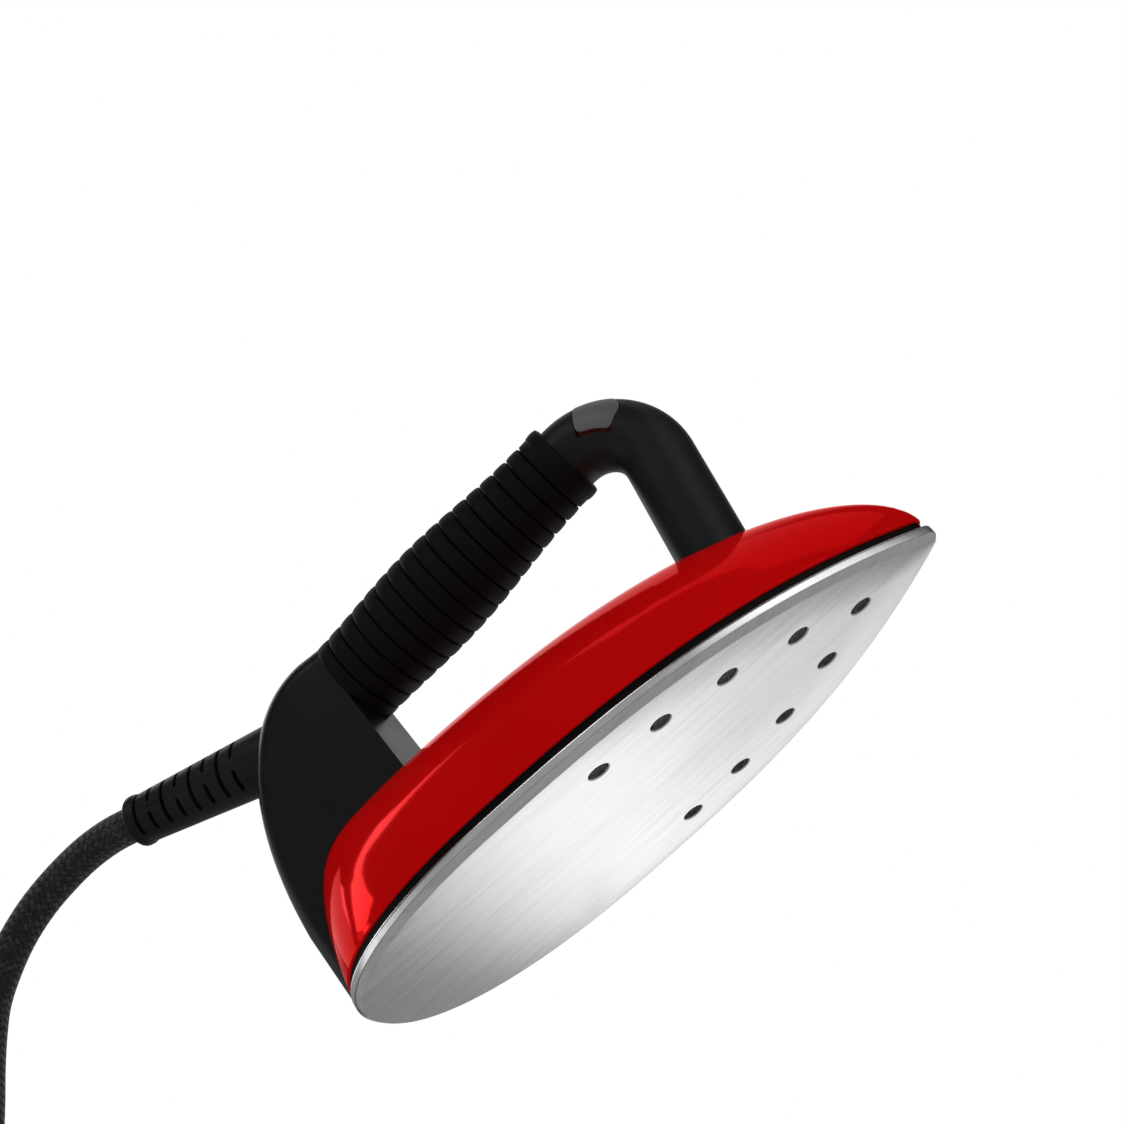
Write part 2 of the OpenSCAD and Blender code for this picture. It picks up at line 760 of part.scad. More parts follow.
function rib_points(i) =
  let (a = max(0, collar_at - (grip_ribs - i) * rib_pitch),
       b = collar_at - (grip_ribs - i - 1) * rib_pitch, e = rib_land * rib_pitch)
  [[grip_r(a) - (i == 0 ? 0.4 : rib_depth), a], [grip_r(a + e), a + e], [grip_r(b - e), b - e]];

module grip_sleeve() {
  color(soft_black) grip_frame() rotate_extrude() polygon(concat(
    [[core_r + sleeve_gap, 0]],
    [for (i = [0:grip_ribs - 1]) each rib_points(i)],
    [[grip_front_r - rib_depth, collar_at], [grip_front_r, collar_at + 0.9],
     [grip_front_r - 0.2, collar_at + 3], [collar_r, collar_at + 4.2], [collar_r, grip_l - 2],
     [collar_r - 0.7, grip_l - 0.6], [collar_r - 1.6, grip_l], [core_r + sleeve_gap, grip_l]]));
}

// ---- Steam button ---------------------------------------------------------

button_out = tube_r + button_proud;
button_in = button_out - button_t;
stem_r = 2.4;
stem_low = 5.6;
holder_low = 2.2;
holder_t = 1.3;
ledge_in = 4;
plunger_r = 1;
plunger_top = 5.25;

// Section of the cap: half a ring with two straight skirts
module cap_section() {
  translate([bend_r, 0]) {
    difference() {
      circle(r = button_out);
      circle(r = button_in);
      translate([-2 * button_out, -2 * button_out]) square([2 * button_out, 4 * button_out]);
    }
    for (s = [-1, 1]) translate([-button_skirt, s * (button_out - button_t / 2) - button_t / 2])
      square([button_skirt + eps, button_t]);
  }
}

module steam_button() {
  color([0.2, 0.2, 0.2]) {
    along_bend(button_span) cap_section();
    button_place() translate([0, 0, stem_low]) cylinder(h = button_in - stem_low + 0.3, r = stem_r);
  }
}

module button_frame() {
  low = recess_r + 0.05;
  color(red) difference() {
    saddle(low, low + liner_t, pocket_side - 0.5, pocket_span - 0.5);
    saddle(low - 1, low + liner_t + 1, window_side, window_span);
  }
}

spring_r = 3.7;
spring_wire = 0.35;
spring_turns = 4;
spring_low = holder_low + holder_t;

function helix(r, z0, z1, turns, per_turn) =
  [for (i = [0:turns * per_turn])
    [r * cos(360 * i / per_turn), r * sin(360 * i / per_turn), z0 + (z1 - z0) * i / (turns * per_turn)]];

module button_spring() {
  color(steel) button_place()
    sweep(helix(spring_r, spring_low + spring_wire, button_in - 0.5 - spring_wire, spring_turns, 12),
      spring_wire, 6, [0, 0, 1]);
}

holder_w = 13.4;
holder_l = 12;

module switch_holder() {
  color(black) button_place() difference() {
    translate([-holder_l / 2, -holder_w / 2, holder_low]) cube([holder_l, holder_w, holder_t]);
    translate([0, 0, holder_low - 1]) cylinder(h = holder_t + 2, r = plunger_r + 0.4);
  }
}

switch_h = 6;

module microswitch() {
  color(black) button_place() difference() {
    translate([-6, -2.7, holder_low - switch_h]) cube([12, 5.4, switch_h]);
    translate([0, 0, holder_low - 3.6]) cylinder(h = 4, r = plunger_r + 0.08);
  }
}

module switch_plunger() {
  color(ivory) button_place() translate([0, 0, holder_low - 1.8])
    cylinder(h = plunger_top - holder_low + 1.8, r = plunger_r);
}

// ---- Rear casing ----------------------------------------------------------

case_n = 28;
case_power = 2.2;
case_back = x_heel - heel_overhang;
case_mid = grip_x - 9.7;
case_foot = shell_z + 0.2;
foot_step = 2;
rise = casing_top - casing_hip;
reach = case_mid - case_back;

// Points of the back, from the foot up and over the top, moved inwards by d
function case_line(d) = concat(
  [[case_back + foot_step + d, case_foot], [case_back + d, casing_hip]],
  [for (i = [1:case_n])
    let (a = 90 * i / case_n, c = i == case_n ? 0 : pow(cos(a), 2 / case_power),
         s = pow(sin(a), 2 / case_power),
         nx = pow(c, case_power - 1) / reach, nz = pow(s, case_power - 1) / rise,
         m = norm([nx, nz]))
    [case_mid - reach * c + d * nx / m, casing_hip + rise * s - d * nz / m]],
  [[case_mid + 15, casing_top - 1.6 - d], [case_mid + 15, case_foot]]);

function at_y(line, y) = [for (p = line) [p.x, y, p.y]];

// Right or left half of the casing's form (side is -1 or 1), shrunk by d
module case_half(side, d, y_mid) {
  w = casing_w / 2 - d;
  r = casing_round - d;
  steps = 8;
  mirror([0, side < 0 ? 1 : 0, 0]) loft(concat(
    [at_y(case_line(d), y_mid)],
    [for (i = [0:steps]) let (a = 90 * i / steps) at_y(case_line(d + r * (1 - cos(a))), w - r + r * sin(a))]));
}

// Everything ahead of the casing's front face, moved back by d
module ahead(d) { grip_frame() translate([-far, -far, -d]) cube([2 * far, 2 * far, far]); }

relief_root = [case_back + 17.2, 0, casing_top - 14.5];
relief_dir = [-cos(relief_rise), 0, sin(relief_rise)];

// Local Z along the strain relief, outwards, from where it leaves the casing; X is up
module relief_frame() { translate(relief_root) rotate([0, relief_rise - 90, 0]) children(); }

screw_low = shell_z + shell_h + 12;
case_screw_at = [[case_back + 10, screw_low + 1.8], [grip_x - 6.5, screw_low - 0.2], [grip_x - 19, casing_top - 6]];
case_boss_r = 3.1;
rib_at = -13;    // place of the casing's rib along the strain relief
rib_t = 1.6;
clamp_at = -20.3;
clamp_l = 4.5;
clamp_screw_y = 9.5;
shelf_top = -2;

module casing(side) {
  difference() {
    case_half(side, 0, 0);
    difference() {
      translate([0, -side * eps, 0]) case_half(side, casing_wall, 0);
      ahead(casing_wall);
      shell_form(casing_wall, 0);
      for (p = case_screw_at) translate([p.x, 0, p.y]) rotate([90, 0, 0])
        cylinder(h = 2 * far, r = case_boss_r, center = true);
      relief_frame() translate([-11, side > 0 ? 6.9 : -12.5, clamp_at])
        cube([11 + shelf_top, 5.6, clamp_l]);
      relief_frame() difference() {
        translate([-13, -13, rib_at]) cube([26, 26, rib_t]);
        translate([0, 0, rib_at - 1]) cylinder(h = rib_t + 2, r = relief_neck_r + 0.3);
      }
    }
    ahead(0);
    shell_form(casing_gap, 0);
    pass_cut();
    grip_frame() cylinder(h = 2 * casing_wall + 4, r = core_r + 0.1, center = true);
    relief_frame() translate([0, 0, rib_at + rib_t]) cylinder(h = 60, r = relief_r + 0.3);
    for (s = [-1, 1]) translate([anchor_x, s * anchor_y, flange_z])
      cylinder(h = anchor_screw_l + 1, r = rear_screw_r + 0.05);
    for (p = case_screw_at) translate([p.x, side > 0 ? -1 : 1, p.y]) rotate([side > 0 ? -90 : 90, 0, 0])
      cylinder(h = side > 0 ? far : 9, r = side > 0 ? case_screw_r + 0.2 : case_screw_r + 0.02);
    if (side > 0) for (p = case_screw_at) translate([p.x, casing_w / 2 - 3.2, p.y]) rotate([-90, 0, 0])
      cylinder(h = far, r = 2.8);
    relief_frame() translate([shelf_top - 7, side * clamp_screw_y, clamp_at + clamp_l / 2])
      rotate([0, 90, 0]) cylinder(h = 12, r = 1.05);
  }
}

module casing_left() { color(black) casing(1); }

module casing_right() { color(black) casing(-1); }

module casing_screws() {
  color(steel) for (p = case_screw_at) translate([p.x, casing_w / 2 - 3.2, p.y]) rotate([-90, 0, 0])
    screw(case_screw_r, 2.5, casing_w / 2 + 3, 1.6);
}

block_l = 16;
block_h = 9;
block_w = casing_w - 2 * casing_wall - 0.04;
block_x = x_heel + 19;
block_z = shell_z + shell_h + casing_wall + 2;

module terminal_block() {
  color(ivory) difference() {
    translate([block_x - block_l / 2, -block_w / 2, block_z]) cube([block_l, block_w, block_h]);
    for (i = [-1:1]) translate([block_x, i * 6.5, block_z + 3]) cylinder(h = 20, r = 1.6);
  }
}

clamp_r = cord_d / 2 + 0.15;

module cord_clamp() {
  color(steel) relief_frame() translate([0, 0, clamp_at]) difference() {
    translate([shelf_top, -11.2, 0]) cube([10.4, 22.4, clamp_l]);
    translate([0, 0, -1]) cylinder(h = clamp_l + 2, r = clamp_r);
    for (s = [-1, 1]) {
      translate([0, s * clamp_screw_y, clamp_l / 2]) rotate([0, 90, 0])
        cylinder(h = 30, r = 1.2, center = true);
      translate([shelf_top + 2.4, s > 0 ? 7.7 : -12, -1]) cube([10, 4.3, clamp_l + 2]);
    }
  }
}

module clamp_screws() {
  color(steel) relief_frame() for (s = [-1, 1])
    translate([shelf_top + 2.4, s * clamp_screw_y, clamp_at + clamp_l / 2]) rotate([0, 90, 0])
      screw(1, 1.6, 6.5, 1.4);
}

// ---- Hose, wires ----------------------------------------------------------

// Where the lead ends inside the casing, behind the clamp
lead_in = 21.9;
lead_end = relief_root - lead_in * relief_dir;
barb_end = [inlet_x - 16, 0, barb_z];
// The hose leaves the lower half of the lead's end and turns down
turn_r = 3.9;
hose_from = lead_end + 0.15 * -relief_dir + 2.9 * [-relief_dir.z, 0, relief_dir.x];
turn_centre = hose_from + turn_r * [-relief_dir.z, 0, relief_dir.x];
function turned(h) = turn_centre + turn_r * [sin(h), 0, cos(h)];
pass_top = shell_z + shell_h + 3.8;
hose_top = turn_centre.z - 5;
hose_mid = pass_top + 0.52 * (hose_top - pass_top);
hose_points = [
  hose_from, turned(32), turned(50), turned(70), turned(90), turn_centre + [turn_r - 0.1, 0, -5],
  [(turn_centre.x + turn_r + pass_x) / 2 - 0.6, 0, hose_mid], [pass_x, 0, pass_top],
  [pass_x, 0, pass_top - 8], [pass_x + 3, 0, barb_z + 0.45 * (pass_top - barb_z)],
  barb_end + [-16, 0, 4], barb_end + [-5, 0, 0], barb_end, barb_end + [9, 0, 0]
];

module steam_hose() {
  color(ivory) pipe_sweep(smooth(hose_points, 3), hose_r, barb_r + 0.25, 12);
}

module hose_clips() {
  color(steel) translate(barb_end + [5, 0, 0]) rotate([0, 90, 0]) difference() {
    cylinder(h = 3, r = hose_r + 0.9);
    translate([0, 0, -1]) cylinder(h = 5, r = hose_r + 0.1);
  }
}

wire_r = 1;
function pin_end(s) = [element_pin_x, s * (element_end_y - 0.5), element_pin_top];

wire_y = pass_w / 2 - 2;
wire_top = block_z + 3;
wire_low = element_pin_top + 12;
// Point a share of the way from the passage's foot to an element's pin
function wire_run(t, s) =
  [pass_x + t * (element_pin_x - pass_x), s * (wire_y + t * (pin_end(1).y - wire_y)), wire_low - 5.5 * t];

module heater_wires() {
  color([0.8, 0.3, 0.1]) for (s = [-1, 1])
    sweep(smooth([
      [block_x + block_l / 2 + 0.3, s * (wire_y - 1.5), wire_top], [pass_x - 5, s * (wire_y - 0.3), wire_top],
      [pass_x, s * wire_y, block_z - 3], [pass_x, s * wire_y, block_z - wire_top / 6], wire_run(0.1, s),
      wire_run(0.65, s), pin_end(s) + [1.2, 0, 4.5], pin_end(s) + [0, 0, 1.6],
      pin_end(s) + [0, 0, 0.2]], 3), wire_r, 8);
}

// Point in the bend's bore at an angle from the vertical and a distance off the axis
function in_bend(a, off, y) = bend_centre + (bend_r + off) * [sin(a), 0, cos(a)] + [0, y, 0];

function in_grip(t, off, y) = grip_origin + t * grip_dir + [0, y, off];

module switch_wires() {
  color([0.7, 0.7, 0.72]) for (s = [-1, 1])
    sweep([
      [block_x + 5.5, s * 8.5, block_z + block_h + 0.05], [block_x + 5.5, s * 8.6, block_z + block_h + 1.5],
      [block_x + 8.5, s * 9, block_z + block_h + 3.5], [grip_x - 20.4, s * 9.2, handle_z - 20.9],
      [grip_x - 16.4, s * 9, handle_z - 16.4], [grip_x - 15.2, s * 7, handle_z - 9.4],
      [grip_x - 14, s * 5, handle_z - 4.9], in_grip(-10, -3, s * 3.6),
      in_grip(0, -3, s * 3), in_grip(0.5 * grip_l, -3, s * 3), in_grip(grip_l, -3, s * 3),
      in_bend(6, -2.6, s * 2.6), in_bend(13, -2, s * 2.2), in_bend(19.4, -1.6, s * 2)
    ], wire_r, 8);
}

// ---- Strain relief, hose outside the iron ---------------------------------

relief_bore = cord_d / 2 + 0.15;
slot_n = 8;
slot_w = 1.5;
slot_depth = 1.3;
slot_from = 9.8; // share of 60 mm at which the first groove starts
slot_to = 53.6;

module strain_relief() {
  taper = (relief_r - relief_end_r) / relief_l;
  scale_l = relief_l / 60;
  step = (slot_to - slot_from) / (slot_n - 1) * scale_l;
  color(soft_black) relief_frame() rotate_extrude() polygon(concat(
    [[relief_bore, rib_at - 2.4], [relief_r, rib_at - 2.4], [relief_r, rib_at - 0.15],
     [relief_neck_r, rib_at - 0.15], [relief_neck_r, rib_at + rib_t + 0.15],
     [relief_r, rib_at + rib_t + 0.15], [relief_r, 0]],
    [for (i = [0:slot_n - 1])
      let (a = slot_from * scale_l - slot_w / 2 + i * step, r = relief_r - taper * a)
      each [[r, a], [r - slot_depth, a + 0.3], [r - slot_depth, a + slot_w], [r, a + slot_w + 0.3]]],
    [[relief_end_r, relief_l - 5.4], [relief_bead_r, relief_l - 4.2],
     [relief_bead_r, relief_l - 1.4], [relief_end_r, relief_l], [relief_bore, relief_l]]));
}

// Route of the hose from inside the casing to the coil: along the strain relief, then
// down to the height of the coil's upper turn
function along_relief(t) = relief_root + t * relief_dir;
coil_top = 1.5 * cord_d;
fall = [ // from the root of the strain relief; heights as shares of its own height
  [-68.2, 0, 1.269], [-80.2, -0.5, 1.284], [-92.7, -1.5, 1.271], [-103.7, -3.5, 1.234],
  [-114.7, -6.5, 1.161], [-123.2, -9, 1.076], [-130.7, -12.5, 0.96], [-135.7, -15, 0.838],
  [-140.2, -17.5, 0.698], [-144.2, -19.5, 0.564], [-148.7, -22, 0.424], [-154.2, -25, 0.302],
  [-161.7, -29, 0.193], [-170.2, -34, 0.11], [-179.7, -39.5, 0.043], [-189.7, -45.5, 0.012]
];
cord_route = concat(
  [lead_end, along_relief(-11.9), relief_root, along_relief(20), along_relief(40),
   along_relief(60.3)],
  [for (p = fall) [relief_root.x + p.x, p.y, coil_top + p.z * (relief_root.z - coil_top)]]);
coil_centre = [relief_root.x - 239.7, 16];
coil_start = -60; // where the hose comes onto the coil
coil_width = 23.3; // from the outer turn's middle to the inner turn's
tail_y = coil_centre.y + coil_r;
plug_z = plug_h / 2;
tail_l = 51;
tail_low = cord_d / 2;
tail_route = [
  [coil_centre.x, tail_y, tail_low], [coil_centre.x + 12, tail_y, tail_low],
  [coil_centre.x + 22, tail_y, tail_low + 0.4], [coil_centre.x + 32, tail_y, tail_low + 1.5],
  [coil_centre.x + 40, tail_y, plug_z], [coil_centre.x + tail_l, tail_y, plug_z]
];

module cord() {
  coil_from = [coil_centre.x + coil_r * cos(coil_start),
    coil_centre.y + coil_r * sin(coil_start), coil_top];
  color(soft_black) difference() {
    union() {
      sweep(concat(cord_route, [coil_from]), cord_d / 2, 12);
      sweep(tail_route, cord_d / 2, 12);
    }
    coil_form();
  }
}

module coil_form() {
  translate([coil_centre.x, coil_centre.y, 0]) rotate_extrude()
    translate([coil_r - coil_width - cord_d / 2, 0]) square([coil_width + cord_d, 2 * cord_d]);
}

module cord_coil() { color(soft_black) coil_form(); }

// ---- Connector ------------------------------------------------------------

plug_y = tail_y;
plug_back = coil_centre.x + tail_l + boot_l;
plug_face = plug_back + plug_l;
plug_round = 4;
nozzle_y = plug_y + 12;
pins_y = plug_y - 9;

module connector_boot() {
  color(soft_black) translate([plug_back - boot_l, plug_y, plug_z]) rotate([0, 90, 0])
    cylinder(h = boot_l, r1 = cord_d / 2 + 0.9, r2 = plug_z - 0.3);
}

// Flat block with round corners seen from above
module plug_block(l, w, h, r) {
  translate([0, -w / 2, 0]) linear_extrude(h) union() {
    translate([r, 0]) square([l - 2 * r, w]);
    translate([0, r]) square([l, w - 2 * r]);
    for (x = [r, l - r], y = [r, w - r]) translate([x, y]) circle(r = r);
  }
}

plug_screw_at = [[8, 17], [plug_l - 20, 17]];

module at_plug_screws() {
  for (p = plug_screw_at, s = [-1, 1]) translate([plug_back + p.x, plug_y + s * p.y, 0]) children();
}

shoulder_r = nozzle_r + 1;

module plug_bores() {
  translate([plug_face, nozzle_y, plug_z]) rotate([0, 90, 0]) {
    translate([0, 0, -15.1]) cylinder(h = 13, r = shoulder_r + 0.1);
    translate([0, 0, -3]) cylinder(h = 6, r = nozzle_r);
  }
  for (y = [-1, 1], z = [-1, 1])
    translate([plug_face, pins_y + y * pin_pitch_y / 2, plug_z + z * pin_pitch_z / 2])
      rotate([0, 90, 0]) {
        translate([0, 0, -12]) cylinder(h = 30, r = pin_r + 0.05);
        translate([0, 0, -12]) cylinder(h = 11, r = pin_r + 0.45);
      }
}

module connector_body() {
  color(black) difference() {
    translate([plug_back, plug_y, 0]) plug_block(plug_l, plug_w, plug_z, plug_round);
    plug_bores();
    at_plug_screws() translate([0, 0, -1]) cylinder(h = plug_h, r = 1.4);
    at_plug_screws() translate([0, 0, -1]) cylinder(h = 3.2, r = 2.6);
  }
}

latch_x = plug_back + 24;
latch_w = 12;
latch_t = 2.4;
latch_z = plug_h + 3;
latch_pin_r = 1;
ear_t = 3;

module connector_cover() {
  color(black) difference() {
    union() {
      translate([plug_back, plug_y, plug_z]) plug_block(plug_l, plug_w, plug_z, plug_round);
      for (s = [-1, 1])
        translate([latch_x - 3, plug_y + s * (latch_w + 0.6 + ear_t) / 2 - ear_t / 2, plug_h - eps])
          cube([6, ear_t, 5.5]);
    }
    plug_bores();
    at_plug_screws() cylinder(h = plug_h - 3, r = 1.15);
    translate([latch_x, plug_y, latch_z]) rotate([90, 0, 0])
      cylinder(h = 2 * latch_w, r = latch_pin_r + 0.05, center = true);
  }
}

module connector_screws() {
  color(steel) at_plug_screws() translate([0, 0, 2.2]) rotate([180, 0, 0]) screw(1.1, 2.3, plug_h - 7, 1.4);
}

groove_at = [3, 7];
groove_w = 1.8;
groove_r = nozzle_r - 1.8;

module steam_nozzle() {
  color(brass) translate([plug_face, nozzle_y, plug_z]) rotate([0, 90, 0]) difference() {
    union() {
      cylinder(h = nozzle_l, r = nozzle_r);
      translate([0, 0, -3]) cylinder(h = 4, r = nozzle_r - 0.3);
      translate([0, 0, -15]) cylinder(h = 12.9, r = shoulder_r);
    }
    translate([0, 0, -16]) cylinder(h = 40, r = 1.3);
    for (z = groove_at) translate([0, 0, z - groove_w / 2]) difference() {
      cylinder(h = groove_w, r = nozzle_r + 1);
      translate([0, 0, -1]) cylinder(h = groove_w + 2, r = groove_r);
    }
  }
}

module nozzle_o_rings() {
  color([0.5, 0.1, 0.05]) for (z = groove_at)
    translate([plug_face + z, nozzle_y, plug_z]) rotate([0, 90, 0]) rotate_extrude()
      translate([groove_r + 0.87, 0]) circle(r = groove_w / 2 - 0.05, $fn = 24);
}

module contact_pins() {
  color(brass) for (y = [-1, 1], z = [-1, 1])
    translate([plug_face, pins_y + y * pin_pitch_y / 2, plug_z + z * pin_pitch_z / 2])
      rotate([0, 90, 0]) {
        cylinder(h = pin_l, r = pin_r);
        translate([0, 0, -2]) cylinder(h = 3, r = pin_r - 0.1);
        translate([0, 0, -10]) cylinder(h = 8.9, r = pin_r + 0.4);
      }
}

latch_tail = 16;
latch_nose = 26;

module connector_latch() {
  color(black) difference() {
    union() {
      translate([latch_x - latch_tail, plug_y - latch_w / 2, latch_z - latch_t / 2])
        cube([latch_tail + latch_nose, latch_w, latch_t]);
      translate([latch_x, plug_y, latch_z]) rotate([90, 0, 0]) cylinder(h = latch_w, r = 2.2, center = true);
      translate([latch_x + latch_nose - 3, plug_y - latch_w / 2, latch_z - 4]) cube([3, latch_w, 4]);
    }
    translate([latch_x, plug_y, latch_z]) rotate([90, 0, 0])
      cylinder(h = latch_w + 2, r = latch_pin_r + 0.05, center = true);
  }
}

module latch_pin() {
  color(steel) translate([latch_x, plug_y, latch_z]) rotate([90, 0, 0])
    cylinder(h = latch_w + 2 * ear_t, r = latch_pin_r, center = true);
}

module latch_spring() {
  color(steel) translate([latch_x - latch_tail / 2, plug_y, plug_h])
    sweep(helix(1.6, 0.3, latch_z - latch_t / 2 - plug_h - 0.3, 2, 10), 0.25, 6, [0, 0, 1]);
}

// ---- Nodes ----------------------------------------------------------------

soleplate();
heater_casting();
heating_element();
chamber_gasket();
chamber_cover();
cover_screws();
steam_inlet();
thermostat();
thermal_fuse();
heat_shield();
red_shell();
front_bracket();
bracket_screws();
rear_bracket();
rear_screws();
handle_tube();
grip_sleeve();
steam_button();
button_frame();
button_spring();
switch_holder();
microswitch();
switch_plunger();
casing_left();
casing_right();
casing_screws();
terminal_block();
cord_clamp();
clamp_screws();
steam_hose();
hose_clips();
heater_wires();
switch_wires();
strain_relief();
cord();
cord_coil();
connector_boot();
connector_body();
connector_cover();
connector_screws();
steam_nozzle();
nozzle_o_rings();
contact_pins();
connector_latch();
latch_pin();
latch_spring();
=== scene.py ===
"""Hand iron of a steam station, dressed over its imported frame.

Every size in this file is in millimetres unless its name says otherwise; meshes are
written in metres. +X points to the tip, +Z up from the sole face.
"""
import logging
import math
from collections.abc import Callable
from dataclasses import dataclass, field
from enum import Enum

import bmesh
import bpy
import numpy as np
from bpy.types import ID, Material, Mesh, Node, NodeSocket, Object
from mathutils import Matrix
from mathutils.geometry import delaunay_2d_cdt


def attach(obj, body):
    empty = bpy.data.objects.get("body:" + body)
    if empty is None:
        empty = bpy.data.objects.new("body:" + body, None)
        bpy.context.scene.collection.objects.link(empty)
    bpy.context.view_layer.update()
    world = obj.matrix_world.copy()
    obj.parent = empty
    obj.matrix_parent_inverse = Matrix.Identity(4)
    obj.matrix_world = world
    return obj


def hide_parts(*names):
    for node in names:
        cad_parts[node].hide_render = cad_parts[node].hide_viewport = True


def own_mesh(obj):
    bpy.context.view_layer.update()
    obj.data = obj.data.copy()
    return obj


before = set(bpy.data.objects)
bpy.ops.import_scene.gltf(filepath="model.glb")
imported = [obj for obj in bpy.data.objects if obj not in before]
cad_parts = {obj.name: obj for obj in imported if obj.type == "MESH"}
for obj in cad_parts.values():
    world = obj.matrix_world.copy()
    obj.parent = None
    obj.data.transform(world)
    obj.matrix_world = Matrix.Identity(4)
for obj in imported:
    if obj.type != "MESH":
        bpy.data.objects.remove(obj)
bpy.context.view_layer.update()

log = logging.getLogger("iron")
Array = np.ndarray
Colour = tuple[float, float, float]
Point = tuple[float, float, float]
Pair = tuple[float, float]

MM = 0.001
MERGE_MM = 0.002  # corners of a CAD mesh closer than this are one
FLAT_DEG = 0.5  # faces of a CAD mesh that bend less than this are one


class Body(str, Enum):
    """Rigid bodies that the pieces made here ride on."""

    IRON = "iron"
    BUTTON = "steam_button"
    LATCH = "connector_latch"


class Slot(str, Enum):
    """Finishes; the first word of each value is its short slot name."""

    SOLE = "sole"
    CASTING = "casting"
    STEEL = "steel"
    BRASS = "brass"
    RED = "red"
    BLACK = "black"
    BUTTON = "button"
    SOFT = "soft"
    GASKET = "gasket"
    IVORY = "ivory"
    HOSE = "hose"
    WIRE = "wire"
    BRAID = "braid"
    CASING = "black casing"
    SHIELD = "black shield"
    LINER = "red liner"
    RELIEF = "soft relief"


# ---- Materials --------------------------------------------------------------


class Graph:
    """Shader node tree with short calls for the nodes that the finishes use."""

    def __init__(self, name: str, sky: bool = False) -> None:
        """Starts an empty material or world.

        Args:
            name: name of the material or world.
            sky: makes a world.
        """
        self.material = (bpy.data.worlds if sky else bpy.data.materials).new(name)
        self.material.use_nodes = True
        self.tree = self.material.node_tree
        self.tree.nodes.clear()

    def add(self, kind: str, inputs: dict | None = None, **settings: object) -> Node:
        """Adds a node.

        Args:
            kind: type of the node, without the ShaderNode prefix.
            inputs: values or sockets for its inputs, by name or index.
            settings: properties of the node.

        Returns:
            The node.
        """
        node = self.tree.nodes.new("ShaderNode" + kind)
        for key, value in settings.items():
            setattr(node, key, value)
        for key, value in (inputs or {}).items():
            if isinstance(value, NodeSocket):
                self.tree.links.new(value, node.inputs[key])
            else:
                node.inputs[key].default_value = value
        return node

    def math(self, operation: str, a: object, b: object = 0.0) -> NodeSocket:
        """Result of a math operation on two sockets or numbers."""
        return self.add("Math", {0: a, 1: b}, operation=operation).outputs[0]

    def place(self, scale: Point = (1.0, 1.0, 1.0), turn: Point = (0.0, 0.0, 0.0)) -> NodeSocket:
        """Object coordinates, scaled and turned."""
        source = self.add("TexCoord").outputs["Object"]
        return self.add("Mapping", {"Vector": source, "Scale": scale, "Rotation": turn}).outputs[0]

    def noise(self, vector: NodeSocket, scale: float, detail: float = 2.0, roughness: float = 0.5) -> NodeSocket:
        """Grey value of a noise texture."""
        return self.add("TexNoise", {"Vector": vector, "Scale": scale, "Detail": detail,
                                     "Roughness": roughness}).outputs["Fac"]

    def ramp(self, value: NodeSocket, stops: list[tuple[float, Colour]]) -> NodeSocket:
        """Colour ramp over a value.

        Args:
            value: socket with a value from 0 to 1.
            stops: places and colours, in order.

        Returns:
            Socket with the colour.
        """
        node = self.add("ValToRGB", {"Fac": value})
        marks = node.color_ramp.elements
        marks[0].position, marks[0].color = stops[0][0], rgba(stops[0][1])
        marks[1].position, marks[1].color = stops[-1][0], rgba(stops[-1][1])
        for place, colour in stops[1:-1]:
            marks.new(place).color = rgba(colour)
        return node.outputs["Color"]

    def span(self, value: NodeSocket, low: float, high: float,
             start: float = 0.0, end: float = 1.0) -> NodeSocket:
        """A value from start to end mapped on low to high."""
        return self.add("MapRange", {"Value": value, "From Min": start, "From Max": end,
                                     "To Min": low, "To Max": high}).outputs[0]

    def bump(self, height: NodeSocket, depth_mm: float, strength: float = 1.0,
             under: NodeSocket | None = None) -> NodeSocket:
        """Bumped normal from a height of 0 to 1 and a depth in millimetres.

        Args:
            height: socket of the height.
            depth_mm: depth of the relief.
            strength: share of the bump that shows.
            under: normal that it lies on, none for the surface.

        Returns:
            Socket with the normal.
        """
        inputs = {"Height": height, "Distance": depth_mm * MM, "Strength": strength}
        if under is not None:
            inputs["Normal"] = under
        return self.add("Bump", inputs).outputs[0]

    def finish(self, **inputs: object) -> Material:
        """Ends the tree in a Principled shader.

        Args:
            inputs: its inputs, with underscores for the spaces of their names.

        Returns:
            The material.
        """
        values = {key.replace("_", " "): value for key, value in inputs.items()}
        shader = self.add("BsdfPrincipled", values)
        self.add("OutputMaterial", {"Surface": shader.outputs[0]})
        return self.material

    def stage(self, card: Object, share: object, first: Node, second: Node) -> None:
        """Ends the tree in a mix of two shaders, and gives an object the material.

        Args:
            card: the object.
            share: how much of the second shader there is.
            first: one shader.
            second: the other.
        """
        mixed = self.add("MixShader", {0: share, 1: first.outputs[0], 2: second.outputs[0]})
        self.add("OutputMaterial", {"Surface": mixed.outputs[0]})
        card.data.materials.append(self.material)


def grey(level: float) -> Colour:
    """Neutral colour of one level."""
    return (level, level, level)


def rgba(colour: Colour) -> tuple[float, float, float, float]:
    """Colour with full opacity."""
    return (*colour, 1.0)


def scaled(colour: Colour, by: float) -> Colour:
    """Colour made darker or lighter, up to white."""
    return tuple(min(1.0, by * c) for c in colour)


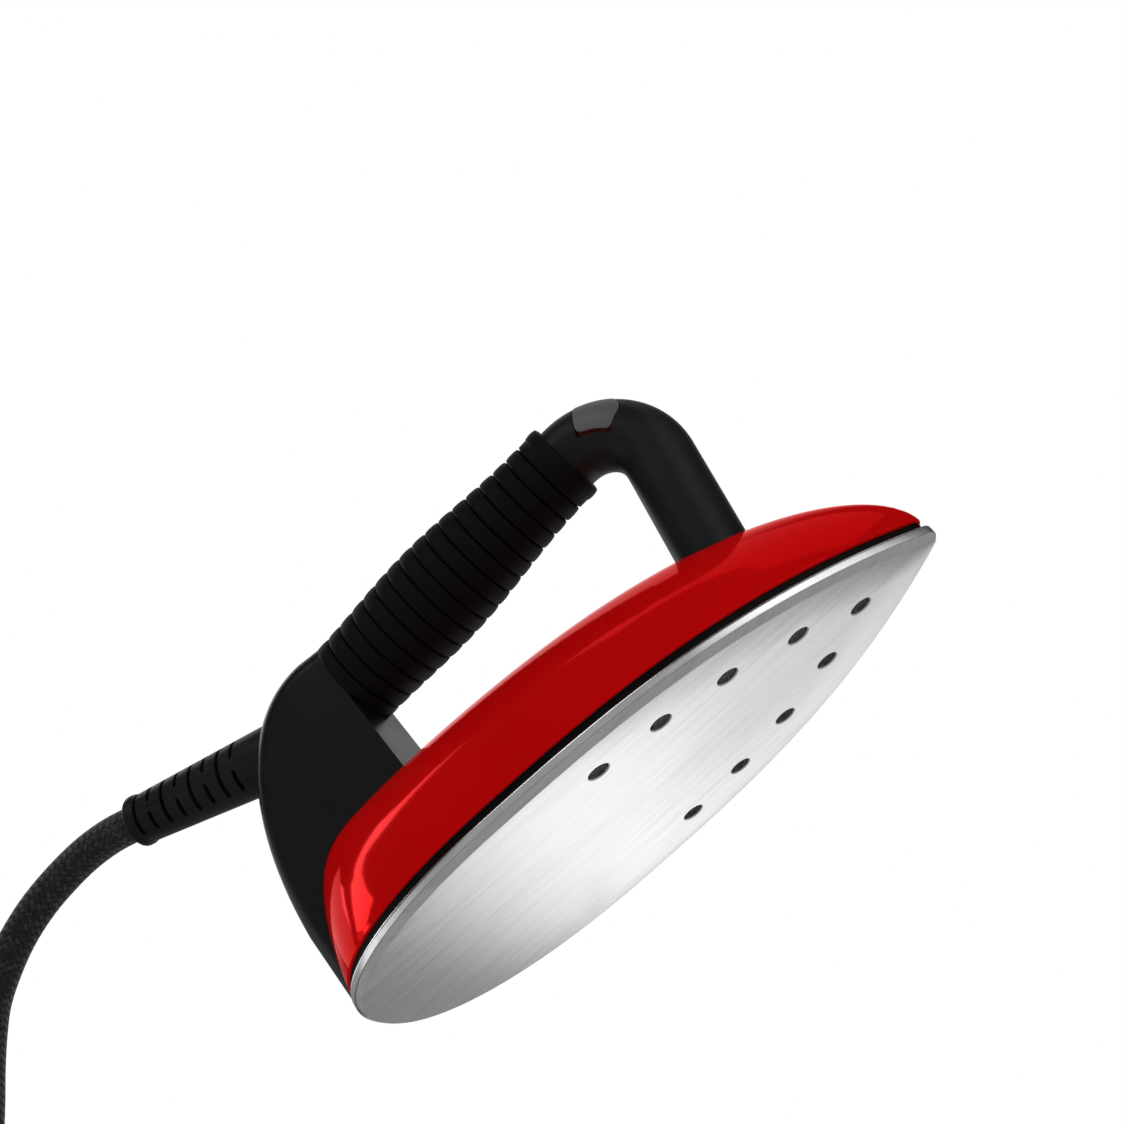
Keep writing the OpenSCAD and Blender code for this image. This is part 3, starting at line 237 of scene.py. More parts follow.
@dataclass(frozen=True)
class BrushedSteel:
    """Soleplate: steel brushed lengthways, with a faint random cloud in its tone."""

    name: str = "Brushed steel"
    dark: Colour = (0.60, 0.61, 0.62)
    middle: Colour = (0.78, 0.785, 0.79)
    light: Colour = (0.86, 0.865, 0.87)
    roughness: Pair = (0.16, 0.3)

    def build(self) -> Material:
        """Streaks along X at two scales drive colour, roughness and bump.

        Returns:
            The material.
        """
        g = Graph(self.name)
        fine = g.noise(g.place((45.0, 1100.0, 300.0)), 1.0, 4.0, 0.65)
        broad = g.noise(g.place((18.0, 260.0, 60.0), (0.0, 0.0, 0.05)), 1.0, 3.0, 0.6)
        cloud = g.noise(g.place(), 14.0, 2.0)
        streak = g.math("ADD", g.math("MULTIPLY", fine, 0.5), g.math("MULTIPLY", broad, 0.5))
        tone = g.math("ADD", g.math("MULTIPLY", streak, 0.8), g.math("MULTIPLY", cloud, 0.2))
        return g.finish(
            Base_Color=g.ramp(tone, [(0.30, self.dark), (0.52, self.middle), (0.72, self.light)]),
            Metallic=1.0, Roughness=g.span(streak, *self.roughness),
            Anisotropic=0.35, Normal=g.bump(streak, 0.03, 0.5))


@dataclass(frozen=True)
class CastMetal:
    """Die-cast aluminium with the grain of its mould."""

    name: str = "Cast aluminium"
    colour: Colour = (0.52, 0.53, 0.54)

    def build(self) -> Material:
        """Two noises give mottled grey and a rough skin.

        Returns:
            The material.
        """
        g = Graph(self.name)
        where = g.place()
        grain = g.noise(where, 1400.0, 3.0)
        blotch = g.noise(where, 60.0, 3.0)
        return g.finish(Base_Color=g.ramp(blotch, [(0.3, scaled(self.colour, 0.8)), (0.7, self.colour)]),
                        Metallic=1.0, Roughness=g.span(grain, 0.42, 0.62), Normal=g.bump(grain, 0.06, 0.6))


@dataclass(frozen=True)
class TurnedMetal:
    """Bright turned or drawn metal with faint tool marks."""

    name: str
    colour: Colour
    roughness: float = 0.25

    def build(self) -> Material:
        """Fine rings of noise vary the roughness.

        Returns:
            The material.
        """
        g = Graph(self.name)
        marks = g.noise(g.place((1500.0, 300.0, 1500.0)), 1.0, 3.0)
        tarnish = g.noise(g.place(), 90.0, 3.0)
        return g.finish(Base_Color=g.ramp(tarnish, [(0.35, scaled(self.colour, 0.82)), (0.65, self.colour)]),
                        Metallic=1.0, Roughness=g.span(marks, self.roughness * 0.8, self.roughness * 1.4),
                        Normal=g.bump(marks, 0.02, 0.4))


@dataclass(frozen=True)
class GlossRed:
    """Shell: deep red with a warm metallic sheen below a clear gloss."""

    name: str = "Gloss red"
    deep: Colour = (0.62, 0.0028, 0.0035)
    full: Colour = (0.68, 0.0034, 0.004)
    edge: Colour = (1.0, 0.06, 0.06)

    def build(self) -> Material:
        """A very soft ripple and small changes of depth in the colour.

        Returns:
            The material.
        """
        g = Graph(self.name)
        where = g.place()
        depth = g.noise(where, 22.0, 2.0)
        ripple = g.noise(where, 130.0, 2.0)
        speck = g.noise(where, 2600.0, 2.0)
        return g.finish(
            Base_Color=g.ramp(depth, [(0.3, self.deep), (0.7, self.full)]), Metallic=0.35,
            Roughness=g.span(speck, 0.05, 0.1), IOR=1.07, Specular_Tint=rgba(self.edge),
            Normal=g.bump(ripple, 0.012, 0.3))


@dataclass(frozen=True)
class MouldedPlastic:
    """Plastic with the fine spark texture of its mould."""

    name: str
    colour: Colour
    specular: float = 0.2
    roughness: Pair = (0.38, 0.52)
    grain_mm: float = 0.35
    depth_mm: float = 0.03

    def build(self) -> Material:
        """Cells of the grain size give the bump, a wide noise the sheen.

        Returns:
            The material.
        """
        g = Graph(self.name)
        where = g.place()
        cell = g.add("TexVoronoi", {"Vector": where, "Scale": 1000.0 / self.grain_mm}).outputs["Distance"]
        haze = g.noise(where, 45.0, 3.0)
        return g.finish(Base_Color=g.ramp(haze, [(0.3, scaled(self.colour, 0.82)), (0.7, scaled(self.colour, 1.15))]),
                        Roughness=g.span(haze, *self.roughness), Specular_IOR_Level=self.specular,
                        Normal=g.bump(cell, self.depth_mm, 0.5))


@dataclass(frozen=True)
class SoftRubber:
    """Soft-touch rubber, matt, with a dusty bloom."""

    name: str
    colour: Colour
    specular: float = 0.12
    roughness: Pair = (0.5, 0.68)
    bloom: float = 1.6

    def build(self) -> Material:
        """Fine noise for the skin, a wide one for wear by hand.

        Returns:
            The material.
        """
        g = Graph(self.name)
        where = g.place()
        skin = g.noise(where, 2200.0, 3.0, 0.6)
        wear = g.noise(where, 38.0, 4.0, 0.6)
        return g.finish(Base_Color=g.ramp(wear, [(0.35, self.colour), (0.75, scaled(self.colour, self.bloom))]),
                        Roughness=g.span(wear, *self.roughness), Specular_IOR_Level=self.specular,
                        Normal=g.bump(skin, 0.05, 0.6))


@dataclass(frozen=True)
class Braid:
    """Textile braid of two families of yarn, over and under in turn."""

    name: str = "Braid"
    dark: Colour = (0.004, 0.004, 0.0045)
    light: Colour = (0.0095, 0.0095, 0.01)
    fleck_and_glint: Colour = (0.034, 0.034, 0.036)
    yarns: int = 14

    def build(self) -> Material:
        """UV runs round the hose in x and along it, in girths, in y.

        Returns:
            The material.
        """
        g = Graph(self.name)
        uv = g.add("SeparateXYZ", {0: g.add("UVMap", uv_map="run").outputs[0]})
        first, second = [g.math("MULTIPLY", g.math(side, uv.outputs["X"], uv.outputs["Y"]), float(self.yarns))
                         for side in ("ADD", "SUBTRACT")]
        row, column = g.math("FLOOR", first), g.math("FLOOR", second)
        parity = g.math("MODULO", g.math("ABSOLUTE", g.math("ADD", row, column)), 2.0)
        over = g.math("GREATER_THAN", parity, 0.5)

        def crown(value: NodeSocket) -> NodeSocket:
            """Rounded height across one yarn."""
            return g.math("SINE", g.math("MULTIPLY", g.math("FRACT", value), math.pi))

        height = g.math("ADD", g.math("MULTIPLY", crown(first), over),
                        g.math("MULTIPLY", crown(second), g.math("SUBTRACT", 1.0, over)))
        fibre = g.noise(g.place(), 1900.0, 3.0, 0.7)
        cell = g.add("TexWhiteNoise", {"Vector": g.add("CombineXYZ", {0: row, 1: column}).outputs[0]},
                     noise_dimensions="3D").outputs["Value"]
        # Colour follows each yarn's crown height times a random tone per yarn: painted shade where the yarns meet and
        # a painted highlight on their crowns
        tone = g.math("MULTIPLY", height, g.span(cell, 0.35, 1.0))
        shade = g.math("ADD", g.math("MULTIPLY", tone, 0.85), g.math("MULTIPLY", fibre, 0.15))
        return g.finish(
            Base_Color=g.ramp(shade, [(0.15, self.dark), (0.6, self.light), (0.95, self.fleck_and_glint)]),
            Roughness=0.72, Specular_IOR_Level=0.15, Sheen_Weight=0.15, Sheen_Roughness=0.5,
            Normal=g.bump(fibre, 0.08, 0.4, g.bump(height, 0.35, 0.9)))


@dataclass
class Palette:
    """All finishes by slot, each built once."""

    finishes: dict[Slot, object] = field(default_factory=lambda: {
        Slot.SOLE: BrushedSteel(),
        Slot.CASTING: CastMetal(),
        Slot.STEEL: TurnedMetal("Bright steel", (0.62, 0.63, 0.64)),
        Slot.BRASS: TurnedMetal("Brass", (0.76, 0.56, 0.24), 0.22),
        Slot.RED: GlossRed(),
        Slot.BLACK: MouldedPlastic("Black plastic", (0.0068, 0.007, 0.0072)),
        Slot.BUTTON: MouldedPlastic("Button plastic", (0.088, 0.089, 0.09), 0.25, (0.4, 0.5)),
        Slot.CASING: MouldedPlastic("Casing plastic", (0.0030, 0.0031, 0.0033), 0.22, (0.3, 0.4)),
        Slot.SHIELD: MouldedPlastic("Shield plastic", (0.002, 0.002, 0.002), 0.08),
        # The button frame's own red, darkened well below the shell's: painted shade for the narrow gap it is seen
        # through
        Slot.LINER: MouldedPlastic("Red plastic with painted gap shade", (0.10, 0.0035, 0.004)),
        Slot.SOFT: SoftRubber("Soft black rubber", (0.0018, 0.0019, 0.002), 0.11),
        Slot.RELIEF: SoftRubber("Relief rubber", (0.0036, 0.0037, 0.0039), 0.22, (0.36, 0.5)),
        Slot.GASKET: SoftRubber("Gasket rubber", (0.30, 0.045, 0.02), 0.3),
        Slot.IVORY: MouldedPlastic("Ivory plastic", (0.70, 0.66, 0.56), 0.4, (0.35, 0.5)),
        Slot.HOSE: SoftRubber("Silicone hose", (0.62, 0.61, 0.57), 0.4, (0.35, 0.5), 1.2),
        Slot.WIRE: SoftRubber("Wire sleeve", (0.36, 0.09, 0.04), 0.3, (0.4, 0.55)),
        Slot.BRAID: Braid(),
    })
    built: dict[Slot, Material] = field(default_factory=dict)

    def __getitem__(self, slot: Slot) -> Material:
        """Material of a slot.

        Args:
            slot: the slot.

        Returns:
            The material, built once.
        """
        if slot not in self.built:
            self.built[slot] = self.finishes[slot].build()
        return self.built[slot]

    def dress(self, piece: Object, slot: Slot) -> Object:
        """Gives a piece its slot's finish.

        Args:
            piece: the piece.
            slot: its slot.

        Returns:
            The piece.
        """
        piece.data.materials.clear()
        piece.data.materials.append(self[slot])
        return (piece, slot.value.split()[0])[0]

    def settle(self, piece: Object, slot: Slot, body: Body, *nodes: str) -> Object:
        """Puts a piece in the place of CAD nodes, on its body and in its finish.

        Args:
            piece: the piece.
            slot: its slot.
            body: rigid body that it rides on.
            nodes: CAD nodes that it stands for.

        Returns:
            The piece.
        """
        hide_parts(*nodes)
        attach(piece, body.value)
        return self.dress(piece, slot)


# ---- Meshes -----------------------------------------------------------------


def solid(name: str, points: Array, faces: list[Array], sharp_deg: float = 35.0,
          fix_normals: bool = True) -> Object:
    """Smooth-shaded mesh object from whole arrays.

    Args:
        name: name of the object.
        points: corners, one row each, in millimetres.
        faces: arrays of corner numbers, each with faces of one size.
        sharp_deg: edges that bend more than this stay sharp.
        fix_normals: turns all faces outwards.

    Returns:
        The object, at the origin.
    """
    mesh = bpy.data.meshes.new(name)
    faces = [f for f in faces if len(f)]
    corners = np.concatenate([f.ravel() for f in faces]).astype(np.int32)
    sizes = np.concatenate([np.full(len(f), f.shape[1]) for f in faces])
    starts = np.concatenate([[0], np.cumsum(sizes)[:-1]]).astype(np.int32)
    mesh.vertices.add(len(points))
    mesh.vertices.foreach_set("co", (np.asarray(points) * MM).astype(np.float32).ravel())
    mesh.loops.add(len(corners))
    mesh.loops.foreach_set("vertex_index", corners)
    mesh.polygons.add(len(sizes))
    mesh.polygons.foreach_set("loop_start", starts)
    mesh.update(calc_edges=True)
    mesh.validate()
    if fix_normals:
        face_outwards(mesh)
    soften(mesh, sharp_deg)
    return placed(name, mesh)


def placed(name: str, data: ID) -> Object:
    """New object in the scene, at the origin.

    Args:
        name: its name.
        data: its mesh or camera.

    Returns:
        The object.
    """
    item = bpy.data.objects.new(name, data)
    bpy.context.scene.collection.objects.link(item)
    return item


def face_outwards(mesh: Mesh) -> None:
    """Turns the faces of closed shells outwards.

    Args:
        mesh: mesh that changes.
    """
    work = bmesh.new()
    work.from_mesh(mesh)
    bmesh.ops.recalc_face_normals(work, faces=work.faces)
    work.to_mesh(mesh)
    work.free()


def soften(mesh: Mesh, sharp_deg: float) -> None:
    """Smooth shading, with edges over an angle kept sharp.

    Args:
        mesh: mesh that changes.
        sharp_deg: edges that bend more than this stay sharp.
    """
    mesh.polygons.foreach_set("use_smooth", np.ones(len(mesh.polygons), bool))
    mesh.set_sharp_from_angle(angle=math.radians(sharp_deg))
    mesh.update()


def grid_faces(rows: int, columns: int, close_rows: bool = False, close_columns: bool = True) -> Array:
    """Quads of a grid of rows by columns, numbered row by row.

    Args:
        rows: rows of corners.
        columns: corners in a row.
        close_rows: joins the last row to the first.
        close_columns: joins the last corner of each row to its first.

    Returns:
        Array of four corner numbers per face.
    """
    r = np.arange(rows if close_rows else rows - 1)
    c = np.arange(columns if close_columns else columns - 1)
    r, c = np.meshgrid(r, c, indexing="ij")
    r1, c1 = (r + 1) % rows, (c + 1) % columns
    return np.stack([r * columns + c, r1 * columns + c, r1 * columns + c1, r * columns + c1], -1).reshape(-1, 4)


def revolve(profile: Array, sides: int) -> tuple[Array, Array]:
    """Closed profile turned round local Z.

    A corner (r, t) goes to (r cos a, r sin a, t) for every angle a.

    Args:
        profile: closed line of (radius, height) corners.
        sides: corners round the axis.

    Returns:
        Points and quads.
    """
    points = turned(profile[:, :1], profile[:, 1:], angles(sides)).reshape(-1, 3)
    return points, grid_faces(len(profile), sides, close_rows=True)


def angles(count: int) -> Array:
    """Even angles round a circle, in radians."""
    return np.linspace(0.0, 2 * np.pi, count, endpoint=False)


def turned(r: Array, t: Array, a: Array) -> Array:
    """Points at radii, heights and angles round local Z, in a grid."""
    return np.stack(np.broadcast_arrays(r * np.cos(a), r * np.sin(a), t + 0 * a), -1)


def strip(a: Array, b: Array) -> Array:
    """Quads between two closed rings of corner numbers."""
    return np.stack([a, b, np.roll(b, -1), np.roll(a, -1)], 1)


def at_height(flat: Array, z: float) -> Array:
    """Corners of a flat line, all at one height."""
    return np.column_stack([flat, np.full(len(flat), z)])


def unit(v: Array) -> Array:
    """Vector of length one."""
    v = np.asarray(v, float)
    return v / np.linalg.norm(v)


def axes_of(z: Array, x_near: Array) -> Array:
    """Matrix whose columns are x, y and z, with x as near as can be to a given one.

    Args:
        z: direction of the third column.
        x_near: direction that the first column is near.

    Returns:
        Matrix, three by three.
    """
    z = unit(z)
    x = unit(np.asarray(x_near, float) - np.dot(x_near, z) * z)
    return np.stack([x, np.cross(z, x), z], 1)


def spline(points: Array, step: float) -> Array:
    """Even points on a centripetal Catmull-Rom curve through given points.

    Args:
        points: the curve's own points.
        step: distance between the points returned.

    Returns:
        Points along the curve.
    """
    p = np.asarray(points, float)
    p = np.vstack([2 * p[0] - p[1], p, 2 * p[-1] - p[-2]])
    knots = reach_of(p, 0.5)

    def mix(t: Array, a: Array, b: Array, start: float, end: float) -> Array:
        """Line from a at the start to b at the end."""
        return (end - t) / (end - start) * a + (t - start) / (end - start) * b

    out = []
    for i in range(1, len(p) - 2):
        t = np.linspace(knots[i], knots[i + 1], 24, endpoint=False)[:, None]
        a = [mix(t, p[k], p[k + 1], knots[k], knots[k + 1]) for k in (i - 1, i, i + 1)]
        b = [mix(t, a[k], a[k + 1], knots[i + k - 1], knots[i + k + 1]) for k in (0, 1)]
        out.append(mix(t, *b, knots[i], knots[i + 1]))
    return even(np.vstack([*out, p[-2:-1]]), step)


def reach_of(line: Array, power: float = 1.0) -> Array:
    """Distance along a line up to each point, with each step raised to a power."""
    return np.concatenate([[0], np.cumsum(np.linalg.norm(np.diff(line, axis=0), axis=1) ** power)])


def even(line: Array, step: float) -> Array:
    """A line's points spaced evenly, close to a given step.

    Args:
        line: points along the line.
        step: distance wanted between points.

    Returns:
        The new points.
    """
    reach = reach_of(line)
    at = np.linspace(0, reach[-1], max(2, int(round(reach[-1] / step)) + 1))
    return np.stack([np.interp(at, reach, line[:, k]) for k in range(3)], 1)


def tube_points(line: Array, radius: Array, sides: int) -> Array:
    """Rings round a line, carried along without twist.

    Each ring is the last one's side turned with the line's heading: side' is side less
    its share along the new heading.

    Args:
        line: centreline, one row per ring.
        radius: radius at each ring.
        sides: corners of a ring.

    Returns:
        Grid of rings by corners by three.
    """
    heading = np.gradient(line, axis=0)
    heading /= np.linalg.norm(heading, axis=1)[:, None]
    side = np.empty_like(line)
    side[0] = unit(np.cross(heading[0], (0.0, 1.0, 0.0)))
    for i in range(1, len(line)):
        side[i] = unit(side[i - 1] - np.dot(side[i - 1], heading[i]) * heading[i])
    up = np.cross(heading, side)
    a = angles(sides)
    ring = np.cos(a)[None, :, None] * side[:, None] + np.sin(a)[None, :, None] * up[:, None]
    return line[:, None] + np.asarray(radius, float).reshape(-1, 1, 1) * ring


def smoothstep(x: Array) -> Array:
    """Smooth rise from 0 to 1 as x goes from 0 to 1."""
    x = np.clip(x, 0.0, 1.0)
    return x * x * (3 - 2 * x)


# ---- Pieces carried over from the frame -------------------------------------


def carry(node: str, piece_name: str, body: Body, palette: Palette, slot: Slot,
          sharp_deg: float = 32.0, edge_mm: float = 0.0) -> Object:
    """Smooth-shaded piece in the place of a CAD node.

    Args:
        node: name of the CAD node.
        piece_name: name of the piece.
        body: body that it rides on.
        palette: finishes.
        slot: material slot.
        sharp_deg: edges that bend more than this stay sharp.
        edge_mm: width of the rounding of its sharp edges, 0 for none.

    Returns:
        The piece.
    """
    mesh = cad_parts[node].data.copy()
    mesh.name = piece_name
    if "custom_normal" in mesh.attributes:
        mesh.attributes.remove(mesh.attributes["custom_normal"])
    work = bmesh.new()
    work.from_mesh(mesh)
    bmesh.ops.remove_doubles(work, verts=work.verts, dist=MERGE_MM * MM)
    if edge_mm:
        bmesh.ops.dissolve_limit(work, angle_limit=math.radians(FLAT_DEG), verts=work.verts, edges=work.edges)
    work.to_mesh(mesh)
    work.free()
    soften(mesh, sharp_deg)
    piece = placed(piece_name, mesh)
    if edge_mm:
        round_edges(piece, edge_mm)
    return palette.settle(piece, slot, body, node)


def shorten(spring: Object) -> Object:
    """Gives a coil spring a mesh of its own.

    Args:
        spring: the spring.

    Returns:
        The spring.
    """
    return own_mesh(spring)


def merge(piece: Object, extra: Object) -> None:
    """Adds the mesh of one object to a piece's and removes that object.

    Args:
        piece: object that stays.
        extra: object that goes.
    """
    work = bmesh.new()
    work.from_mesh(piece.data)
    work.from_mesh(extra.data)
    work.to_mesh(piece.data)
    work.free()
    bpy.data.objects.remove(extra)


def round_edges(piece: Object, width_mm: float) -> None:
    """Bevel modifier on the sharp edges of a piece.

    Args:
        piece: the piece.
        width_mm: width of the rounding.
    """
    bevel = piece.modifiers.new("Edges", "BEVEL")
    bevel.width, bevel.segments = width_mm * MM, 3
    bevel.limit_method, bevel.angle_limit = "ANGLE", math.radians(50.0)


# ---- Lead -------------------------------------------------------------------

LEAD_ROOT = np.array([-99.3, 0.0, 101.8])
LEAD_RISE = math.radians(18.3)
LEAD_DIR = np.array([-math.cos(LEAD_RISE), 0.0, math.sin(LEAD_RISE)])


@dataclass
class Lead:
    """Steam hose and mains wires in one braided sheath, from the clamp to the connector."""

    palette: Palette
    diameter: float = 13.0
    sides: int = 24
    step: float = 3.6
    straight: tuple[float, ...] = (-21.9, -11.9, 0.0, 20.0, 40.0, 60.3)
    centre: Pair = (-339.0, 16.0)
    outer: float = 78.0
    inner: float = 54.7
    start_deg: float = -60.0
    layer_deg: float = 570.0
    drop_deg: float = 150.0
    turn_deg: float = 7.5
    high: float = 19.5
    low: float = 6.5
    fall: tuple[Point, ...] = (
        (-167.5, 0, 123.939), (-179.5, -0.5, 125.173), (-192, -1.5, 124.103), (-203, -3.5, 121.058),
        (-214, -6.5, 115.05), (-222.5, -9, 108.055), (-230, -12.5, 98.508), (-235, -15, 88.467),
        (-239.5, -17.5, 76.945), (-243.5, -19.5, 65.917), (-248, -22, 54.395), (-253.5, -25, 44.355),
        (-261, -29, 35.384), (-269.5, -34, 28.553), (-279, -39.5, 23.039), (-289, -45.5, 20.488))
    tail: tuple[Point, ...] = (
        (-327, 94, 6.5), (-317, 94, 6.9), (-307, 94, 8.0), (-299, 94, 9.0), (-288, 94, 9.0),
        (-284, 94, 9.0))

    def coil(self) -> Array:
        """Two flat spirals, the upper inwards and the lower outwards, with an eased drop between.

        The radius falls evenly from outer to inner, rests during the drop, and grows
        evenly to outer again, while the angle runs clockwise at an even rate.

        Returns:
            Points of the coil, from its outer end above to its outer end below.
        """
        turn = np.arange(0.0, 2 * self.layer_deg + self.drop_deg + 1e-6, self.turn_deg)
        share_in = np.clip(turn / self.layer_deg, 0, 1)
        share_out = np.clip((turn - self.layer_deg - self.drop_deg) / self.layer_deg, 0, 1)
        radius = self.outer - (self.outer - self.inner) * (share_in - share_out)
        height = self.high - (self.high - self.low) * smoothstep((turn - self.layer_deg) / self.drop_deg)
        a = np.radians(self.start_deg - turn)
        return np.stack([self.centre[0] + radius * np.cos(a), self.centre[1] + radius * np.sin(a), height], 1)

    def line(self) -> Array:
        """Centreline from inside the casing to inside the connector's boot."""
        along = [LEAD_ROOT + t * LEAD_DIR for t in self.straight]
        return spline(np.vstack([along, self.fall, self.coil(), self.tail]), self.step)

    def build(self, on_it: list[str]) -> Object:
        """Tube along the centreline, with a map that runs round and along it.

        Args:
            on_it: nodes of the pieces on the lead; not used.

        Returns:
            The lead.
        """
        line = self.line()
        grid = tube_points(line, np.full(len(line), self.diameter / 2), self.sides)
        rows, n = grid.shape[:2]
        faces = grid_faces(rows, n)
        caps = [np.arange(n)[None], ((rows - 1) * n + np.arange(n))[None]]
        piece = solid("braided_lead", grid.reshape(-1, 3), [faces, *caps], fix_normals=False)
        reach = reach_of(line)
        along = reach / (math.pi * self.diameter)
        r, c = faces[:, 0] // n, faces[:, 0] % n
        u = np.stack([c, c, c + 1, c + 1], 1) / n
        v = np.stack([along[r], along[r + 1], along[r + 1], along[r]], 1)
        layer = piece.data.uv_layers.new(name="run")
        uv = np.zeros((len(piece.data.loops), 2), np.float32)
        uv[:faces.size] = np.stack([u, v], -1).reshape(-1, 2)
        layer.data.foreach_set("uv", uv.ravel())
        face_outwards(piece.data)
        soften(piece.data, 60.0)
        self.palette.settle(piece, Slot.BRAID, Body.IRON, "cord", "cord_coil")
        round(reach[-1] * MM, 2)
        self.diameter * MM
        [tuple(p) for p in line * MM]
        log.info("lead: %.0f mm of hose, %d rings", reach[-1], rows)
        return piece


@dataclass
class StrainRelief:
    """Rubber sleeve that stiffens the lead behind the casing, slotted to bend."""

    palette: Palette
    root_r: float = 11.3
    end_r: float = 8.7
    bead_r: float = 9.5
    neck_r: float = 9.6
    bore_r: float = 6.62
    length: float = 60.0
    back: float = 15.4
    slot_depth: float = 1.75
    first: float = 9.95
    last: float = 53.75
    stations: int = 8
    sides: int = 180
    bead_from: float = 54.6
    neck: Pair = (-13.15, -11.25)
    # Distances of grid rings from a slot's middle, and rings of the neck and foot
    slot_rings: tuple[float, ...] = (-0.85, -0.75, -0.65, -0.55, -0.45, 0, 0.45, 0.55, 0.65, 0.75, 0.85)
    foot_rings: tuple[float, ...] = (-15.4, -13.17, -13.13, -11.27, -11.23, -6, 0)

    def body_r(self, t: Array) -> Array:
        """Radius without slots: an even taper that swells to a bead at the end.

        Args:
            t: distances along the relief.

        Returns:
            Radius at each distance.
        """
        taper = self.root_r - (self.root_r - self.end_r) * np.clip(t, 0, None) / self.length
        neck = (t > self.neck[0]) & (t < self.neck[1])
        swell = smoothstep((t - self.bead_from) / 2.2)
        bead = self.bead_r * np.sqrt(np.clip(1 - (np.clip(t - 58.0, 0, None) / 2.35) ** 2, 0, 1))
        r = np.where(neck, self.neck_r, taper)
        return np.where(t > self.bead_from, r + (np.minimum(self.bead_r, bead) - r) * swell, r)

    def marks(self) -> Array:
        """Middles of the slots along the relief."""
        return np.linspace(self.first, self.last, self.stations)

    def slots(self, t: Array, side: Array) -> Array:
        """Depth of the slots: bands in t, long ones and split ones in turn.

        Args:
            t: distances along the relief, one column.
            side: angles in degrees from the top, 0 to 180 on both sides, one row.

        Returns:
            Depth at every t and angle.
        """
        depth = np.zeros((len(t), side.shape[1]))
        ends = {0: [(29, 80), (103, 151)], 1: [(29, 151)]}
        for i, at in enumerate(self.marks()):
            band = 1 - smoothstep((np.abs(t - at) - 0.5) / 0.3)
            for low, high in ends[i % 2]:
                arc = smoothstep((side - low) / 4) * smoothstep((high - side) / 4)
                depth = np.maximum(depth, band * arc)
        return self.slot_depth * depth

    def build(self) -> Object:
        """Grid in distance and angle, closed through the bore.

        Returns:
            The relief.
        """
        dense = (self.marks()[:, None] + np.array(self.slot_rings)).ravel()
        t = np.unique(np.concatenate([dense, np.arange(0, self.bead_from, 1.5), np.linspace(54.4, 60, 22),
                                      self.foot_rings]).round(4))
        t = t[np.concatenate([[True], np.diff(t) > 0.03])][:, None]
        a = angles(self.sides)[None]
        side = np.degrees(np.abs(np.angle(np.exp(1j * a))))
        r = np.maximum(self.body_r(t) - self.slots(t, side), self.bore_r + 0.4)
        r = np.vstack([r, np.full((2, self.sides), self.bore_r)])
        grid = turned(r, np.vstack([t, [[self.length], [-self.back]]]), a)
        points = grid.reshape(-1, 3) @ axes_of(LEAD_DIR, (0, 0, 1)).T + LEAD_ROOT
        piece = solid("relief_sleeve", points, [grid_faces(len(grid), self.sides, close_rows=True)], 45.0)
        log.info("strain relief: %d rings, %d slots", len(grid), self.stations)
        return self.palette.settle(piece, Slot.RELIEF, Body.IRON, "strain_relief")


# ---- Handle -----------------------------------------------------------------


